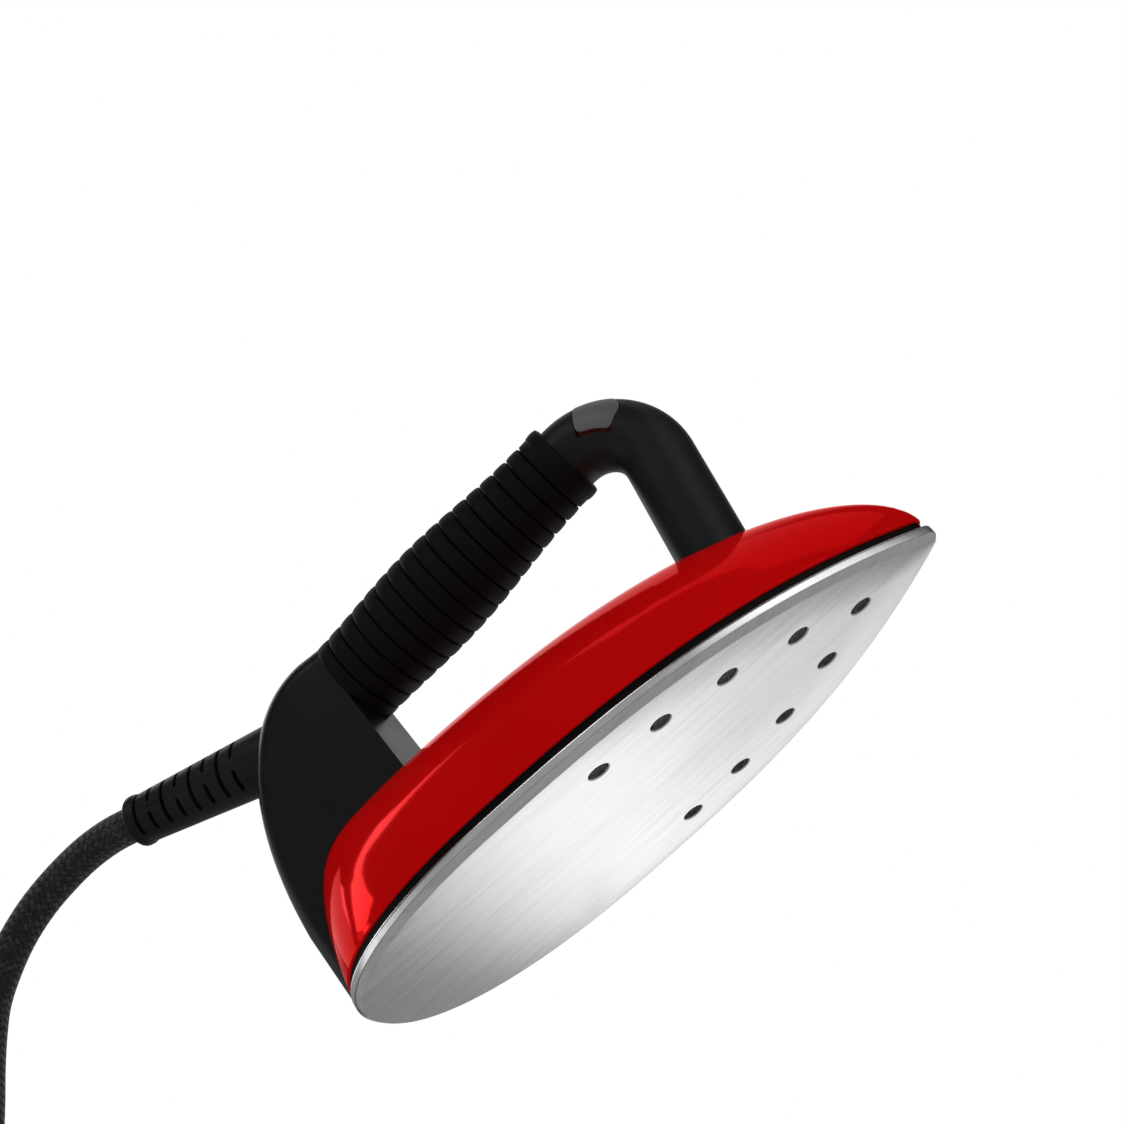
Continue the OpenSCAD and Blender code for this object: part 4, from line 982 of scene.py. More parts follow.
@dataclass
class Grip:
    """Rubber sleeve with scalloped ribs, thickest under the palm, with a bead at its front."""

    palette: Palette
    origin: Point = (-59.6, 0.0, 101.4)
    tilt_deg: float = 4.1
    length: float = 105.77
    bore_r: float = 10.08
    rear_r: float = 16.9
    belly_r: float = 18.3
    front_r: float = 14.7
    belly_at: float = 0.38
    slim_at: float = 0.92
    ribs: int = 16
    rib_cut: float = 0.18
    rib_crown: float = 0.42
    groove: float = 0.95
    groove_w: float = 0.27
    collar_l: float = 8.8
    bead_r: float = 14.95
    bead_at: float = 6.3
    sides: int = 128

    def swell(self, t: Array) -> Array:
        """Radius over the ribs: a sine-square rise to the belly, then a cosine fall.

        Args:
            t: distances along the grip.

        Returns:
            Radius at each distance.
        """
        u = t / self.length
        rise = self.rear_r + (self.belly_r - self.rear_r) * np.sin(np.pi / 2 * u / self.belly_at) ** 2
        share = np.clip((u - self.belly_at) / (self.slim_at - self.belly_at), 0, 1)
        fall = self.front_r + (self.belly_r - self.front_r) * (1 + np.cos(np.pi * share)) / 2
        return np.where(u < self.belly_at, rise, fall)

    def profile(self) -> Array:
        """Closed section: ribs, collar with its bead, front face and bore.

        Returns:
            Corners, as radius and distance along the grip.
        """
        collar = self.length - self.collar_l
        pitch = collar / (self.ribs - self.rib_cut)
        place = np.concatenate([[0.0, 0.012, 0.03, 0.055], np.linspace(0.09, 0.91, 13), [0.945, 0.97, 0.988]])
        starts = collar - (self.ribs - np.arange(self.ribs)) * pitch
        t = (starts[:, None] + place * pitch).ravel()
        u = np.tile(place, self.ribs)
        edge = np.minimum(u, 1 - u) * pitch
        fall = self.rib_crown * np.abs(2 * u - 1) ** 2.6 + self.groove * np.exp(-((edge / self.groove_w) ** 2))
        keep = t > 0.02
        ribs = np.stack([(self.swell(t) - fall)[keep], t[keep]], 1)
        ribs = np.vstack([[[self.rear_r - 0.35, 0.0]], ribs])
        c = np.linspace(0, 1, 34)
        tc = collar + c * self.collar_l
        past = tc - collar - self.bead_at
        flat = self.front_r - 0.25 - 1.1 * np.exp(-((tc - collar) / 0.3) ** 2)
        bead = np.sqrt(np.clip(1 - (past / 2.55) ** 2, 0, 1))
        front = np.clip((self.length - tc) / 0.8, 0, 1)
        rounded = self.bead_r - 0.9 * (1 - np.sqrt(1 - (1 - front) ** 2)) - 0.3 * smoothstep(past / 2.5)
        radius = np.where(tc < collar + self.bead_at, flat + (self.bead_r - flat) * bead, rounded)
        head = np.stack([radius, tc], 1)
        return np.vstack([ribs, head, [[self.front_r - 2.2, self.length]], [[self.bore_r, self.length]],
                          [[self.bore_r, 0.0]]])

    def build(self) -> Object:
        """Section turned round the grip's axis.

        Returns:
            The grip.
        """
        points, faces = revolve(self.profile(), self.sides)
        tilt = math.radians(self.tilt_deg)
        turn = axes_of((math.cos(tilt), 0, math.sin(tilt)), (0, 0, 1))
        piece = solid("ribbed_grip", points @ turn.T + np.array(self.origin), [faces], 48.0)
        log.info("grip: %d ribs", self.ribs)
        return self.palette.settle(piece, Slot.SOFT, Body.IRON, "grip_sleeve")


@dataclass
class Button:
    """Saddle-shaped cap over the handle's bend, in a pocket whose front lip follows the cap."""

    palette: Palette
    bend_centre: Pair = (48.237, 87.575)
    bend_r: float = 21.5
    tube_r: float = 12.2
    cap_r: float = 12.42
    inner_r: float = 11.15
    rear_deg: float = 20.3
    front_top_deg: float = 38.5
    front_side_deg: float = 55.5
    side_deg: float = 98.5
    corner: float = 2.0
    lip_gap: float = 0.4
    pocket_deg: float = 56.85
    pocket_side_deg: float = 104.5
    mark_r: Pair = (2.6, 3.4)
    mark_high: float = 0.14

    def at(self, along: Array, side: Array, r: Array) -> Array:
        """Point at angles along the bend and round the tube, and a radius from the tube's axis.

        The bend's centre, plus bend radius and r times the cosine of the side angle along
        the bend's own angle, plus r times the sine of the side angle along Y.

        Args:
            along: angles along the bend, in radians.
            side: angles round the tube from its top, in radians.
            r: distances from the tube's axis.

        Returns:
            Points, in the shape of the angles.
        """
        arm = self.bend_r + r * np.cos(side)
        return np.stack([self.bend_centre[0] + arm * np.sin(along), r * np.sin(side) + 0 * along,
                         self.bend_centre[1] + arm * np.cos(along)], -1)

    def front(self, side: Array) -> Array:
        """Front edge of the cap: further forward down the sides than on top, in radians."""
        share = smoothstep(np.abs(np.degrees(side)) / 65)
        return np.radians(self.front_top_deg + (self.front_side_deg - self.front_top_deg) * share)

    def block(self, name: str, rear: Array, front: Array, side: Array,
              outer: Callable[[Array, Array], Array]) -> Object:
        """Closed patch between two edges, from the inner radius out to the outer one.

        Args:
            name: name of the patch.
            rear: angle of its rear edge along the bend.
            front: angle of its front edge.
            side: angles round the tube, one row.
            outer: outer radius, from the angles along and round.

        Returns:
            The patch.
        """
        rows, columns = 33, side.shape[1]
        u = np.linspace(0, 1, rows)[:, None]
        along = rear + (front - rear) * u
        grids = [self.at(along, side, r + 0 * along) for r in (outer(along, side), self.inner_r)]
        points = np.vstack([g.reshape(-1, 3) for g in grids])
        skin = grid_faces(rows, columns, close_columns=False)
        index = np.arange(rows * columns).reshape(rows, columns)
        edge = np.concatenate([index[0], index[1:, -1], index[-1, -2::-1], index[-2:0:-1, 0]])
        low = edge + rows * columns
        wall = np.stack([edge, np.roll(edge, -1), np.roll(low, -1), low], 1)
        return solid(name, points, [skin, rows * columns + skin, wall], 60.0)

    def lip(self) -> Object:
        """Front lip of the pocket, level with the tube.

        Returns:
            The lip.
        """
        side = np.radians(np.linspace(-self.pocket_side_deg, self.pocket_side_deg, 61))[None]
        rear = self.front(side) + self.lip_gap / (self.bend_r + self.tube_r * np.cos(side))
        front = np.radians(self.pocket_deg) + 0 * side
        return self.block("pocket_lip", np.minimum(rear, front - 0.002), front, side,
                          lambda along, side: self.tube_r + 0 * along)

    def build(self) -> Object:
        """Cap with rounded corners, soft edges and a shallow round key mark.

        Returns:
            The cap.
        """
        side = np.radians(self.side_deg) * np.sin(np.linspace(-1, 1, 73) * 1.35)[None] / math.sin(1.35)
        to_edge = (np.radians(self.side_deg) - np.abs(side)) * self.cap_r
        into_corner = np.clip(self.corner - to_edge, 0, None)
        inset = self.corner - np.sqrt(np.clip(self.corner ** 2 - into_corner ** 2, 0, None))
        arm = self.bend_r + self.cap_r * np.cos(side)
        middle = np.radians((self.rear_deg + self.front_top_deg) / 2)

        def outer(along: Array, side: Array) -> Array:
            """Cap radius, with a low ring round the key mark.

            Args:
                along: angles along the bend.
                side: angles round the tube.

            Returns:
                Radius at the angles.
            """
            reach = np.hypot((along - middle) * (self.bend_r + self.cap_r), side * self.cap_r)
            inner, ring = [smoothstep((r - reach) / 0.5) for r in self.mark_r]
            return self.cap_r + self.mark_high * (ring - 1.6 * inner)

        piece = self.block("button_cap", np.radians(self.rear_deg) + inset / arm,
                           self.front(side) - inset / arm, side, outer)
        round_edges(piece, 0.3)
        log.info("button: cap of %.1f mm radius", self.cap_r)
        return self.palette.settle(piece, Slot.BUTTON, Body.BUTTON, "steam_button")


@dataclass
class Handle:
    """Loop of the handle: bent tube, grip, button and what lies inside."""

    palette: Palette

    def build(self) -> list[Object]:
        """Builds the handle's pieces.

        Returns:
            The pieces.
        """
        button = Button(self.palette)
        tube = carry("handle_tube", "bent_tube", Body.IRON, self.palette, Slot.BLACK, 40.0)
        merge(tube, button.lip())
        pieces = [
            tube,
            carry("button_frame", "button_liner", Body.IRON, self.palette, Slot.LINER),
            Grip(self.palette).build(),
            button.build(),
        ]
        log.info("handle: %d pieces", len(pieces))
        return pieces


# ---- Sole and shell ---------------------------------------------------------


@dataclass(frozen=True)
class Almond:
    """Outline of the iron from above.

    The nose is a power curve, half width times (1 - u to the nose power) for u from the
    widest place (0) to the tip (1); the heel is a superellipse; the whole is grown by a
    radius, which rounds the tip.
    """

    x_wide: float = -28.5
    nose: float = 145.0
    heel: float = 85.0
    half_w: float = 57.8
    tip_r: float = 4.5
    nose_power: float = 2.7
    heel_power: float = 2.2

    def half(self, inset: float = 0.0, nose_ratio: float = 1.0, grow: float = 0.0,
             counts: tuple[int, int, int] = (10, 84, 72)) -> Array:
        """Half outline from tip to heel on the +Y side.

        Args:
            inset: how far the outline's sizes draw in.
            nose_ratio: how much more the nose draws in.
            grow: how far the line is grown along its normals.
            counts: steps round the tip, along the nose and along the heel.

        Returns:
            Corners, x and y.
        """
        r = self.tip_r
        cn, ch, cw = self.nose - nose_ratio * inset - r, self.heel - inset - r, self.half_w - inset - r
        d = r + grow
        fan = math.atan2(cn, cw * self.nose_power)
        a = fan * np.arange(counts[0]) / counts[0]
        tip = np.stack([self.x_wide + cn + d * np.cos(a), d * np.sin(a)], 1)
        u = 1 - np.arange(counts[1] + 1) / counts[1]
        slope = cw * self.nose_power * u ** (self.nose_power - 1)
        m = np.hypot(slope, cn)
        nose = np.stack([self.x_wide + cn * u + d * slope / m, cw * (1 - u ** self.nose_power) + d * cn / m], 1)
        a = np.pi / 2 * np.arange(1, counts[2] + 1) / counts[2]
        s, c = np.sin(a) ** (2 / self.heel_power), np.clip(np.cos(a), 0, 1) ** (2 / self.heel_power)
        c[-1] = 0.0
        nx, ny = s ** (self.heel_power - 1) / ch, c ** (self.heel_power - 1) / cw
        m = np.hypot(nx, ny)
        heel = np.stack([self.x_wide - ch * s - d * nx / m, cw * c + d * ny / m], 1)
        return np.vstack([tip, nose, heel])

    def whole(self, **how: object) -> Array:
        """Closed outline."""
        half = self.half(**how)
        return np.vstack([half, (half * [1, -1])[-2:0:-1]])


@dataclass
class Soleplate:
    """Steel plate with a rounded rim and nine steam holes, each with a small chamfer."""

    palette: Palette
    outline: Almond = Almond()
    x_tip: float = 116.5
    thickness: float = 5.0
    hole_r: float = 3.5
    chamfer: float = 0.35
    hole_w: float = 39.8
    hole_nose: float = 114.0
    first: float = 19.0
    pitch: float = 22.3
    pairs: int = 4
    apex_in: float = 31.0
    # Rim from the sole face up: how far the line is grown, and its height
    rim: tuple[Pair, ...] = (
        (-2.05, 0.0), (-1.78, 0.05), (-1.5, 0.22), (-0.85, 0.85), (-0.35, 1.4), (-0.12, 1.75), (-0.02, 2.2),
        (0.0, 2.9), (0.0, 3.9), (-0.03, 4.35), (-0.14, 4.7), (-0.34, 4.92), (-0.62, 5.0))

    def holes(self) -> Array:
        """Centres of the steam holes.

        Returns:
            Centres, x and y, the tip's first.
        """
        apex = self.x_tip - self.apex_in
        x = apex - self.first - self.pitch * np.arange(self.pairs)
        share = np.clip(x - self.outline.x_wide, 0, None) / self.hole_nose
        y = self.hole_w * (1 - share ** self.outline.nose_power)
        return np.vstack([[[apex, 0.0]], np.stack([x, y], 1), np.stack([x, -y], 1)])

    def face(self, outer: Array, hole_line: Array, z: float) -> tuple[Array, Array]:
        """Flat face between the outline and the holes, as a triangle net.

        Args:
            outer: outline's corners.
            hole_line: corners of every hole, hole by hole.
            z: height of the face.

        Returns:
            Points and triangles; the points are the given corners in order.
        """
        n = len(outer)
        flat = np.vstack([outer, hole_line.reshape(-1, 2)])
        per = hole_line.shape[1]
        loops = [list(range(n)), *(list(range(i, i + per)) for i in range(n, len(flat), per))]
        made = delaunay_2d_cdt([tuple(p) for p in flat.tolist()], [], loops, 2, 1e-7)
        triangles = np.array([f for f in made[2] if len(f) == 3])
        origin = np.array([ids[0] for ids in made[3]])
        middle = flat[origin[triangles]].mean(1)
        centres = hole_line.mean(1)
        inside = (np.linalg.norm(middle[:, None] - centres[None], axis=2) < self.hole_r * 0.97).any(1)
        return at_height(flat, z), origin[triangles[~inside]]

    def build(self) -> Object:
        """Rim as a loft of grown outlines, the faces as nets, the holes as rings.

        Returns:
            The soleplate.
        """
        rings = np.stack([at_height(self.outline.whole(grow=g), z) for g, z in self.rim])
        k, n = rings.shape[:2]
        a = angles(40)
        circle = np.stack([np.cos(a), np.sin(a)], 1)
        centres = self.holes()
        wide, bore = [centres[:, None] + r * circle for r in (self.hole_r + self.chamfer, self.hole_r)]
        low, low_faces = self.face(rings[0, :, :2], wide, 0.0)
        top, top_faces = self.face(rings[-1, :, :2], bore, self.thickness)
        points = np.vstack([rings.reshape(-1, 3), low[n:], at_height(bore.reshape(-1, 2), self.chamfer), top[n:]])
        base, count, level = k * n, len(a), len(low) - n
        walls = []
        for i in range(len(centres)):
            ring = [base + j * level + i * count + np.arange(count) for j in range(3)]
            for lower, upper in zip(ring, ring[1:]):
                walls.append(strip(lower, upper))
        low_map = np.concatenate([np.arange(n), base + np.arange(level)])
        top_map = np.concatenate([(k - 1) * n + np.arange(n), base + 2 * level + np.arange(level)])
        piece = solid("steel_sole", points, [grid_faces(k, n), np.vstack(walls), low_map[low_faces],
                                             top_map[top_faces]], 34.0)
        log.info("soleplate: %d holes", len(centres))
        return self.palette.settle(piece, Slot.SOLE, Body.IRON, "soleplate")


@dataclass
class Shell:
    """Red dome: ridge from tip to heel, flanks that fall faster towards the edge."""

    palette: Palette
    outline: Almond = Almond()
    edge_z: float = 7.8
    height: float = 54.4
    crown_x: float = -75.5
    wall: float = 2.4
    inset: float = 0.8
    lip: float = 0.55
    leg_foot: Point = (59.42, 0.0, 26.6)
    leg_lean_deg: float = 9.9
    leg_hole_r: float = 12.5
    steps: int = 30
    lip_low: float = 0.16
    # Powers of the share of the way and of the height: ahead of the crown, behind it, and across
    ahead: Pair = (2.65, 1.77)
    behind: Pair = (3.5, 2.2)
    across: Pair = (1.65, 1.21)

    def ridge(self, x: Array, front: float, back: float, height: float) -> Array:
        """Height of the ridge: height times (1 - share to a power) to a power, ahead and behind the crown.

        Args:
            x: places along the iron.
            front: where the ridge ends ahead.
            back: where it ends behind.
            height: its height at the crown.

        Returns:
            Height at each place.
        """
        ways = (((x - self.crown_x) / (front - self.crown_x), self.ahead),
                ((self.crown_x - x) / (self.crown_x - back), self.behind))
        ahead, behind = [(1 - np.clip(way, 0, 1) ** p) ** (1 / q) for way, (p, q) in ways]
        return height * np.where(x > self.crown_x, ahead, behind)

    def dome(self, inset: float, height: float, floor: float, nose_ratio: float = 1.0) -> Array:
        """Grid over the half outline's stations and shares of the half width.

        Args:
            inset: how far the outline draws in.
            height: height of the crown above the edge.
            floor: lowest height of the surface.
            nose_ratio: how much more the nose draws in.

        Returns:
            Rows from tip to heel of points from -Y over the ridge to +Y.
        """
        half = self.outline.half(inset=inset, nose_ratio=nose_ratio)
        stations = half[1:-1]
        e = np.sin(np.pi / 2 * np.arange(-self.steps, self.steps + 1) / self.steps)
        crest = self.ridge(stations[:, 0], half[0, 0], half[-1, 0], height)
        z = self.edge_z + crest[:, None] * (1 - np.abs(e)[None] ** self.across[0]) ** (1 / self.across[1])
        return np.stack([stations[:, :1] + 0 * e, stations[:, 1:2] * e, np.maximum(z, floor)], -1)

    def build(self) -> Object:
        """Outer and inner domes joined by a rounded lip, and cut where the leg passes.

        Returns:
            The shell.
        """
        outer = self.dome(self.inset, self.height, self.edge_z + self.lip)
        inner = self.dome(self.inset + self.wall, self.height - self.wall, self.edge_z, 1.4)
        low = self.dome(self.inset + self.lip_low, 0.0, self.edge_z + self.lip_low)
        base = self.dome(self.inset + self.lip, 0.0, self.edge_z)
        rows, m = outer.shape[:2]

        def around(grid: Array) -> Array:
            """Edge of a dome: down its +Y side from the tip, back up the -Y side."""
            return np.vstack([grid[:, -1], grid[::-1, 0]])

        points = np.vstack([outer.reshape(-1, 3), inner.reshape(-1, 3), around(low), around(base)])
        half = rows * m
        skin = grid_faces(rows, m, close_columns=False)
        edge = np.concatenate([np.arange(rows) * m + m - 1, (np.arange(rows) * m)[::-1]])
        rings = [edge, 2 * half + np.arange(2 * rows), 2 * half + 2 * rows + np.arange(2 * rows), half + edge]
        lips = [strip(a, b) for a, b in zip(rings, rings[1:])]
        ends = [np.arange(m)[None], ((rows - 1) * m + np.arange(m))[None],
                half + np.arange(m)[None], half + ((rows - 1) * m + np.arange(m))[None]]
        piece = solid("red_dome", points, [skin, half + skin, *lips, *ends], 40.0)
        self.cut(piece)
        log.info("shell: %d stations", rows)
        return self.palette.settle(piece, Slot.RED, Body.IRON, "red_shell")

    def cut(self, piece: Object) -> None:
        """Takes the leg's hole out of the dome.

        Args:
            piece: the dome.
        """
        lean = math.radians(self.leg_lean_deg)
        n = 96
        grid = turned(self.leg_hole_r, np.array([[0.0], [60.0]]), angles(n)).reshape(-1, 3)
        points = grid @ axes_of((math.sin(lean), 0, math.cos(lean)), (1, 0, 0)).T + np.array(self.leg_foot)
        tool = solid("leg_tool", points, [grid_faces(2, n), np.arange(n)[None], n + np.arange(n)[None]])
        cutter = piece.modifiers.new("Leg hole", "BOOLEAN")
        cutter.operation, cutter.solver, cutter.object = "DIFFERENCE", "EXACT", tool
        made = bpy.data.meshes.new_from_object(
            piece.evaluated_get(bpy.context.evaluated_depsgraph_get()))
        piece.modifiers.clear()
        old, piece.data = piece.data, made
        bpy.data.meshes.remove(old)
        bpy.data.objects.remove(tool)
        soften(piece.data, 40.0)


@dataclass
class Casing:
    """Rear casing in two halves, with its screws."""

    palette: Palette

    def build(self) -> list[Object]:
        """Carries over the halves and the screws.

        Returns:
            The pieces.
        """
        pieces = [
            carry("casing_left", "left_casing", Body.IRON, self.palette, Slot.CASING, 28.0),
            carry("casing_right", "right_casing", Body.IRON, self.palette, Slot.CASING, 28.0),
            carry("casing_screws", "case_screws", Body.IRON, self.palette, Slot.STEEL),
            carry("heat_shield", "shield_ring", Body.IRON, self.palette, Slot.SHIELD),
        ]
        log.info("casing: %d pieces", len(pieces))
        return pieces


@dataclass
class Connector:
    """Connector at the end of the lead: boot, two halves, nozzle, pins and latch."""

    palette: Palette
    boot_from: float = -288.0
    boot_to: float = -262.0
    y: float = 94.0
    z: float = 9.0
    cord_r: float = 6.5
    ribs: int = 5
    root_r: float = 7.0
    flare: float = 1.3
    groove: float = 0.55
    collar: float = 0.35
    hollow_r: float = 4.5
    hollow_from: float = 5.0
    ribbed: float = 0.8

    def boot(self) -> Object:
        """Ribbed boot: a taper with rounded ribs, turned round X.

        Returns:
            The boot.
        """
        t = np.linspace(0, 1, 90)
        length = self.boot_to - self.boot_from
        wave = np.abs(np.sin(np.pi * self.ribs * np.clip(t / self.ribbed, 0, 1))) ** 0.5
        r = (self.root_r + self.flare * t - self.groove * (1 - wave) * (t < self.ribbed)
             + self.collar * smoothstep((t - self.ribbed) / 0.1))
        outer = np.stack([r, t * length], 1)
        bore = self.cord_r + 0.02
        profile = np.vstack([[[bore, 0.0]], outer, [[self.hollow_r, length]],
                             [[self.hollow_r, self.hollow_from]], [[bore, self.hollow_from]]])
        points, faces = revolve(profile, 72)
        points = points @ axes_of((1, 0, 0), (0, 0, 1)).T + [self.boot_from, self.y, self.z]
        piece = solid("lead_boot", points, [faces], 45.0)
        return self.palette.settle(piece, Slot.SOFT, Body.IRON, "connector_boot")

    def build(self) -> list[Object]:
        """Builds the connector's pieces.

        Returns:
            The pieces.
        """
        iron, dress = Body.IRON, self.palette
        pieces = [
            self.boot(),
            carry("connector_body", "lower_half", iron, dress, Slot.BLACK, 32.0, 0.5),
            carry("connector_cover", "upper_half", iron, dress, Slot.BLACK, 32.0, 0.5),
            carry("connector_latch", "latch_lever", Body.LATCH, dress, Slot.BLACK, 32.0, 0.3),
            carry("connector_screws", "half_screws", iron, dress, Slot.STEEL),
            carry("steam_nozzle", "nozzle", iron, dress, Slot.BRASS),
            carry("nozzle_o_rings", "o_rings", iron, dress, Slot.GASKET),
            carry("contact_pins", "pins", iron, dress, Slot.BRASS, 32.0, 0.25),
            carry("latch_pin", "hinge_pin", iron, dress, Slot.STEEL),
            shorten(carry("latch_spring", "lever_spring", iron, dress, Slot.STEEL, 60.0)),
        ]
        log.info("connector: %d pieces", len(pieces))
        return pieces


INNER: dict[Slot, str] = {
    Slot.CASTING: "heater_casting chamber_cover",
    Slot.STEEL: "heating_element cover_screws front_bracket bracket_screws rear_bracket rear_screws "
                "cord_clamp clamp_screws hose_clips",
    Slot.GASKET: "chamber_gasket",
    Slot.BRASS: "steam_inlet thermal_fuse",
    Slot.IVORY: "thermostat switch_plunger terminal_block",
    Slot.BLACK: "switch_holder microswitch",
    Slot.HOSE: "steam_hose",
    Slot.WIRE: "heater_wires switch_wires",
}


def dress_inner(palette: Palette) -> None:
    """Gives the nodes inside the iron their finishes.

    Args:
        palette: the finishes.
    """
    shorten(carry("button_spring", "return_spring", Body.IRON, palette, Slot.STEEL, 60.0))
    for slot, names in INNER.items():
        for name in names.split():
            palette.dress(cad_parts[name], slot)
        log.info("inside, %s: %s", slot.value, names)


# ---- Studio -----------------------------------------------------------------


SHOULDER: Point = (-80.0, -35.0, 35.0)


@dataclass(frozen=True)
class Softbox:
    """Lit card round the iron, seen in mirrors and not by the camera.

    Each station is an azimuth from +Y towards +X, a low and a high elevation, all in
    degrees, and a level; a corner goes to the aim plus the distance along its direction,
    and the level runs evenly from station to station.
    """

    name: str
    stations: tuple[tuple[float, float, float, float], ...]
    aim: Point = (0.0, 0.0, 0.0)
    distance: float = 1500.0
    draw_in: float = 0.0
    draw_from: float = -20.5

    def build(self) -> None:
        """Strip of quads through the stations, which draw in towards +Y above the height draw_from."""
        azimuth, low, high, level = np.array(self.stations).T
        corners = []
        for height in (low, high):
            turn = np.radians(azimuth * (1.0 - self.draw_in * (height - self.draw_from)))
            rise = np.radians(height)
            corners.append(np.array(self.aim) + self.distance * np.stack(
                [np.sin(turn) * np.cos(rise), np.cos(turn) * np.cos(rise), np.sin(rise)], 1))
        card = solid(self.name, np.vstack(corners), [grid_faces(2, len(azimuth), close_columns=False)],
                     fix_normals=False)
        card.data.attributes.new("level", "FLOAT", "POINT").data.foreach_set(
            "value", np.tile(level, 2).astype(np.float32))
        g = Graph(self.name)
        strength = g.add("Attribute", attribute_name="level").outputs["Fac"]
        light = g.add("Emission", {"Color": rgba(grey(1.0)), "Strength": strength})
        g.stage(card, g.add("LightPath").outputs["Is Camera Ray"], light, g.add("BsdfTransparent"))


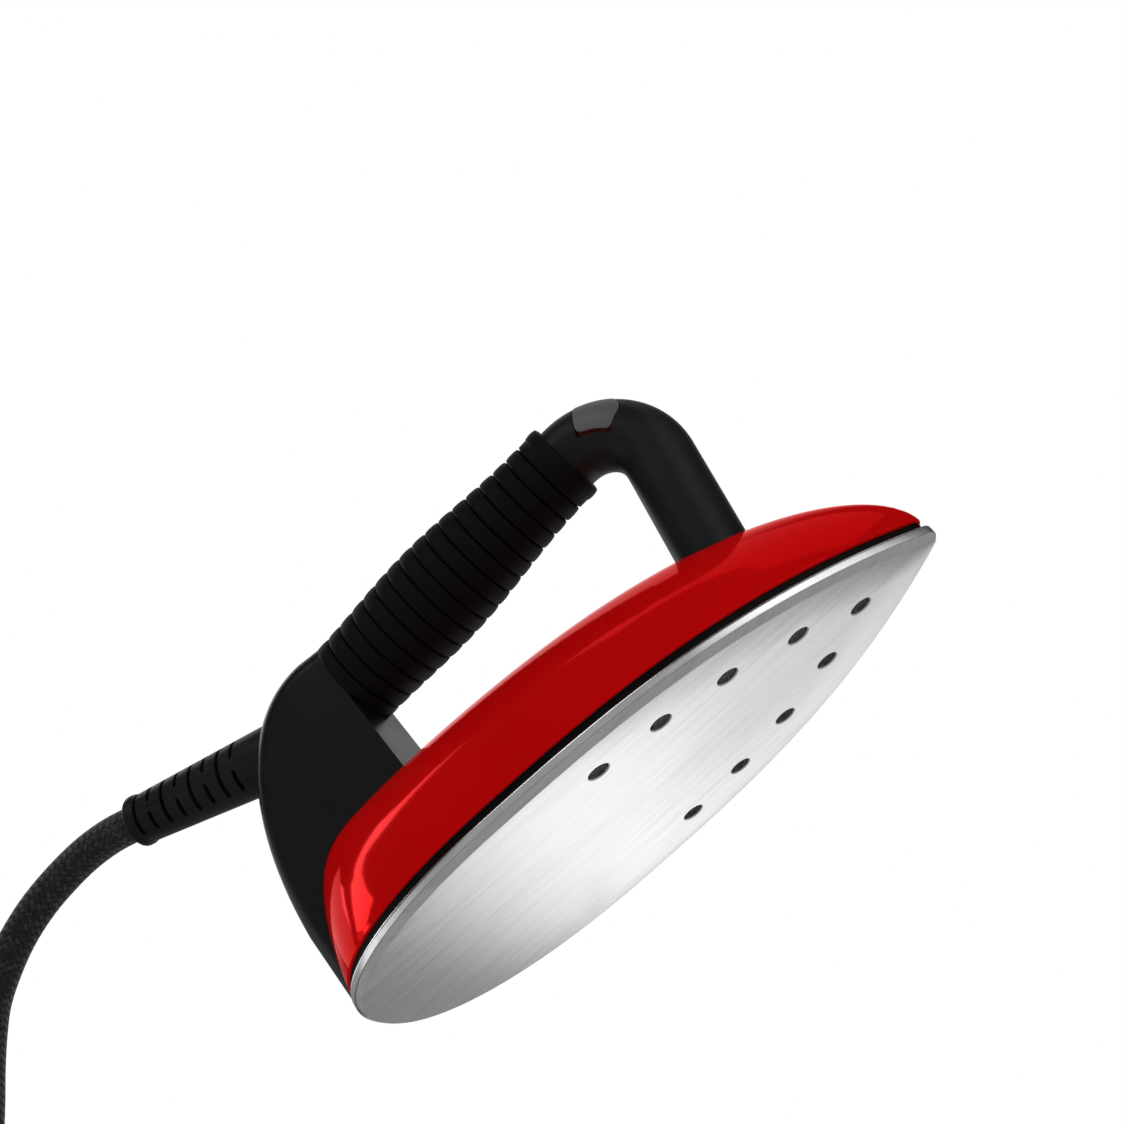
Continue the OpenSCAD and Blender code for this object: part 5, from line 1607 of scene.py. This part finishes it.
@dataclass
class Studio:
    """White studio: camera, softboxes, world, and a floor that shows from above only."""

    place: Point = (0.0904, -0.4439, -0.1714)
    right: Point = (0.72943, 0.41849, -0.5411)
    down: Point = (-0.6714, 0.28654, -0.68346)
    lens: float = 50.0
    fill: float = 0.85
    mirrored: float = 0.05
    underneath: float = 0.3
    sight: Pair = (0.78, 0.93)
    dusk: Pair = (0.15, -0.1)
    floor_half: float = 2500.0
    floor_z: float = -0.3
    softboxes: tuple[Softbox, ...] = (
        Softbox("Shoulder strip", ((-88, 37.5, 48, 3.6), (-80, 37.5, 50, 3.6), (-72, 37, 52.5, 3.6),
                                   (-66, 40.5, 55.5, 3.6), (-60, 47.2, 61, 3.4), (-50, 52.2, 65, 2.6),
                                   (-40, 56, 68, 1.8), (-30, 60, 69.5, 1.1)), SHOULDER),
        Softbox("Overhead", ((-30, 61, 70, 0.75), (-10, 57, 77, 0.75), (10, 60, 79, 0.75), (30, 58, 77, 0.7),
                             (50, 52, 73, 0.6), (70, 42, 67, 0.5), (90, 40, 61, 0.4))),
        Softbox("Sole", ((-50, -42, -8, 0.22), (-29, -42, -8, 0.26), (-27, -42, -8, 0.38), (-25, -42, -8, 0.56),
                         (-23, -42, -8, 0.8), (-21, -42, -8, 1.0), (-19, -42, -8, 1.2), (-16.5, -42, -8, 1.27),
                         (-14, -42, -8, 1.25), (-11, -38, -8, 1.18), (-8, -23.2, -8, 1.1), (-4.5, -22.8, -8, 1.06),
                         (-1.6, -22, -8, 1.08), (1, -21.5, -8, 1.1), (3.7, -20.7, -8, 1.08), (9, -19, -8, 0.95),
                         (14, -18, -8, 0.35)), draw_in=0.014),
        Softbox("Sole front", ((-9, -48, -23.2, 0.85), (-4.5, -48, -22.8, 0.68), (1, -48, -21.5, 0.52),
                               (3.7, -48, -20.7, 0.44), (9, -48, -19, 0.24), (14, -48, -18, 0.18)), draw_in=0.014),
        Softbox("Heel side", ((-100, 27, 37, 0.45), (-90, 25, 37.2, 0.65), (-80, 25, 37.2, 0.8), (-72, 25, 36.7, 0.9),
                              (-66, 25, 40.2, 0.95), (-60, 26, 46.9, 1.0), (-50, 27, 51.9, 1.15),
                              (-40, 28, 55.7, 1.2), (-31, 30, 59.4, 1.15), (-20, 33, 60, 1.0), (-8, 38, 57, 0.9),
                              (6, 42, 58, 0.85), (18, 44, 58, 0.8)), SHOULDER),
        Softbox("Rear side", ((-140, 9, 28, 0.35), (-122, 9, 28, 0.6), (-110, 9, 28, 1.0), (-100, 9, 28, 1.3),
                              (-92, 9, 26, 0.9), (-84, 9, 25, 0.3), (-50, 10, 25, 0.25), (-20, 10, 25, 0.25))),
        Softbox("Near side", ((92, 8, 32, 0.4), (104, 6, 34, 1.0), (118, 6, 34, 1.4), (130, 8, 34, 1.5),
                              (140, 10, 34, 1.0), (150, 8, 34, 0.38), (180, 6, 34, 0.34), (220, 6, 34, 0.34))),
        Softbox("Key", ((160, 44, 58, 2.2), (185, 44, 60, 2.4), (210, 44, 58, 2.2))),
    )

    def camera(self) -> None:
        """Camera at the given place, looking along right cross down."""
        right, down = unit(self.right), np.array(self.down)
        down = unit(down - np.dot(down, right) * right)
        ahead = np.cross(right, down)
        data = bpy.data.cameras.new("Camera")
        data.lens, data.sensor_width = self.lens, 36.0
        data.clip_start, data.clip_end = 0.01, 50.0
        camera = placed("Camera", data)
        turn = Matrix(np.stack([right, -down, -ahead], 1).tolist()).to_4x4()
        camera.matrix_world = Matrix.Translation(self.place) @ turn
        bpy.context.scene.camera = camera

    def world(self) -> None:
        """White where it is seen and in mirrors round the line of sight, grey below, a soft fill elsewhere."""
        g = Graph("Studio", sky=True)
        path = g.add("LightPath").outputs
        ahead = np.cross(self.right, self.down)
        heading = g.add("TexCoord").outputs["Generated"]
        towards = g.add("VectorMath", {0: heading, 1: tuple(ahead)}, operation="DOT_PRODUCT").outputs["Value"]
        height = g.add("SeparateXYZ", {0: heading}).outputs["Z"]
        behind = g.math("MAXIMUM", g.span(towards, self.mirrored, 1.0, *self.sight),
                        g.span(height, 0.0, self.underneath, *self.dusk))
        seen = g.math("MAXIMUM", path["Is Camera Ray"], path["Is Transmission Ray"])
        level = g.add("Mix", {0: path["Is Glossy Ray"], 2: self.fill, 3: behind}).outputs[0]
        level = g.add("Mix", {0: seen, 2: level, 3: 1.0}).outputs[0]
        sky = g.add("Background", {"Color": rgba(grey(1.0)), "Strength": level})
        g.add("OutputWorld", {"Surface": sky.outputs[0]})
        bpy.context.scene.world = g.material

    def floor(self) -> None:
        """Pale floor, seen by the camera from above and by nothing else."""
        corners = np.array([[-1, -1, 0], [1, -1, 0], [1, 1, 0], [-1, 1, 0]]) * self.floor_half
        corners = corners + [0.0, 0.0, self.floor_z]
        plane = solid("floor", corners, [np.array([[0, 1, 2, 3]])], fix_normals=False)
        g = Graph("Pale floor")
        path, face = g.add("LightPath"), g.add("NewGeometry")
        front = g.math("MULTIPLY", path.outputs["Is Camera Ray"], g.math("SUBTRACT", 1.0, face.outputs["Backfacing"]))
        speckle = g.noise(g.place(), 30.0, 3.0)
        shade = g.add("BsdfPrincipled", {"Base Color": g.ramp(speckle, [(0.2, grey(0.80)), (0.8, grey(0.86))]),
                                         "Roughness": 0.9})
        g.stage(plane, front, g.add("BsdfTransparent"), shade)

    def build(self) -> None:
        """Sets the studio up."""
        self.camera()
        self.world()
        for softbox in self.softboxes:
            softbox.build()
        bpy.context.scene.view_settings.view_transform = "Standard"
        log.info("studio: %d softboxes", len(self.softboxes))


def main() -> None:
    """Builds the studio, the lead and every sub-assembly."""
    logging.basicConfig(level=logging.INFO, format="%(name)s: %(message)s")
    palette = Palette()
    studio = Studio()
    studio.build()
    pieces = Connector(palette).build()
    pieces.append(StrainRelief(palette).build())
    Lead(palette).build([piece.name for piece in pieces])
    Soleplate(palette).build()
    Shell(palette).build()
    Handle(palette).build()
    Casing(palette).build()
    dress_inner(palette)
    studio.floor()


if __name__ == "__main__":
    main()
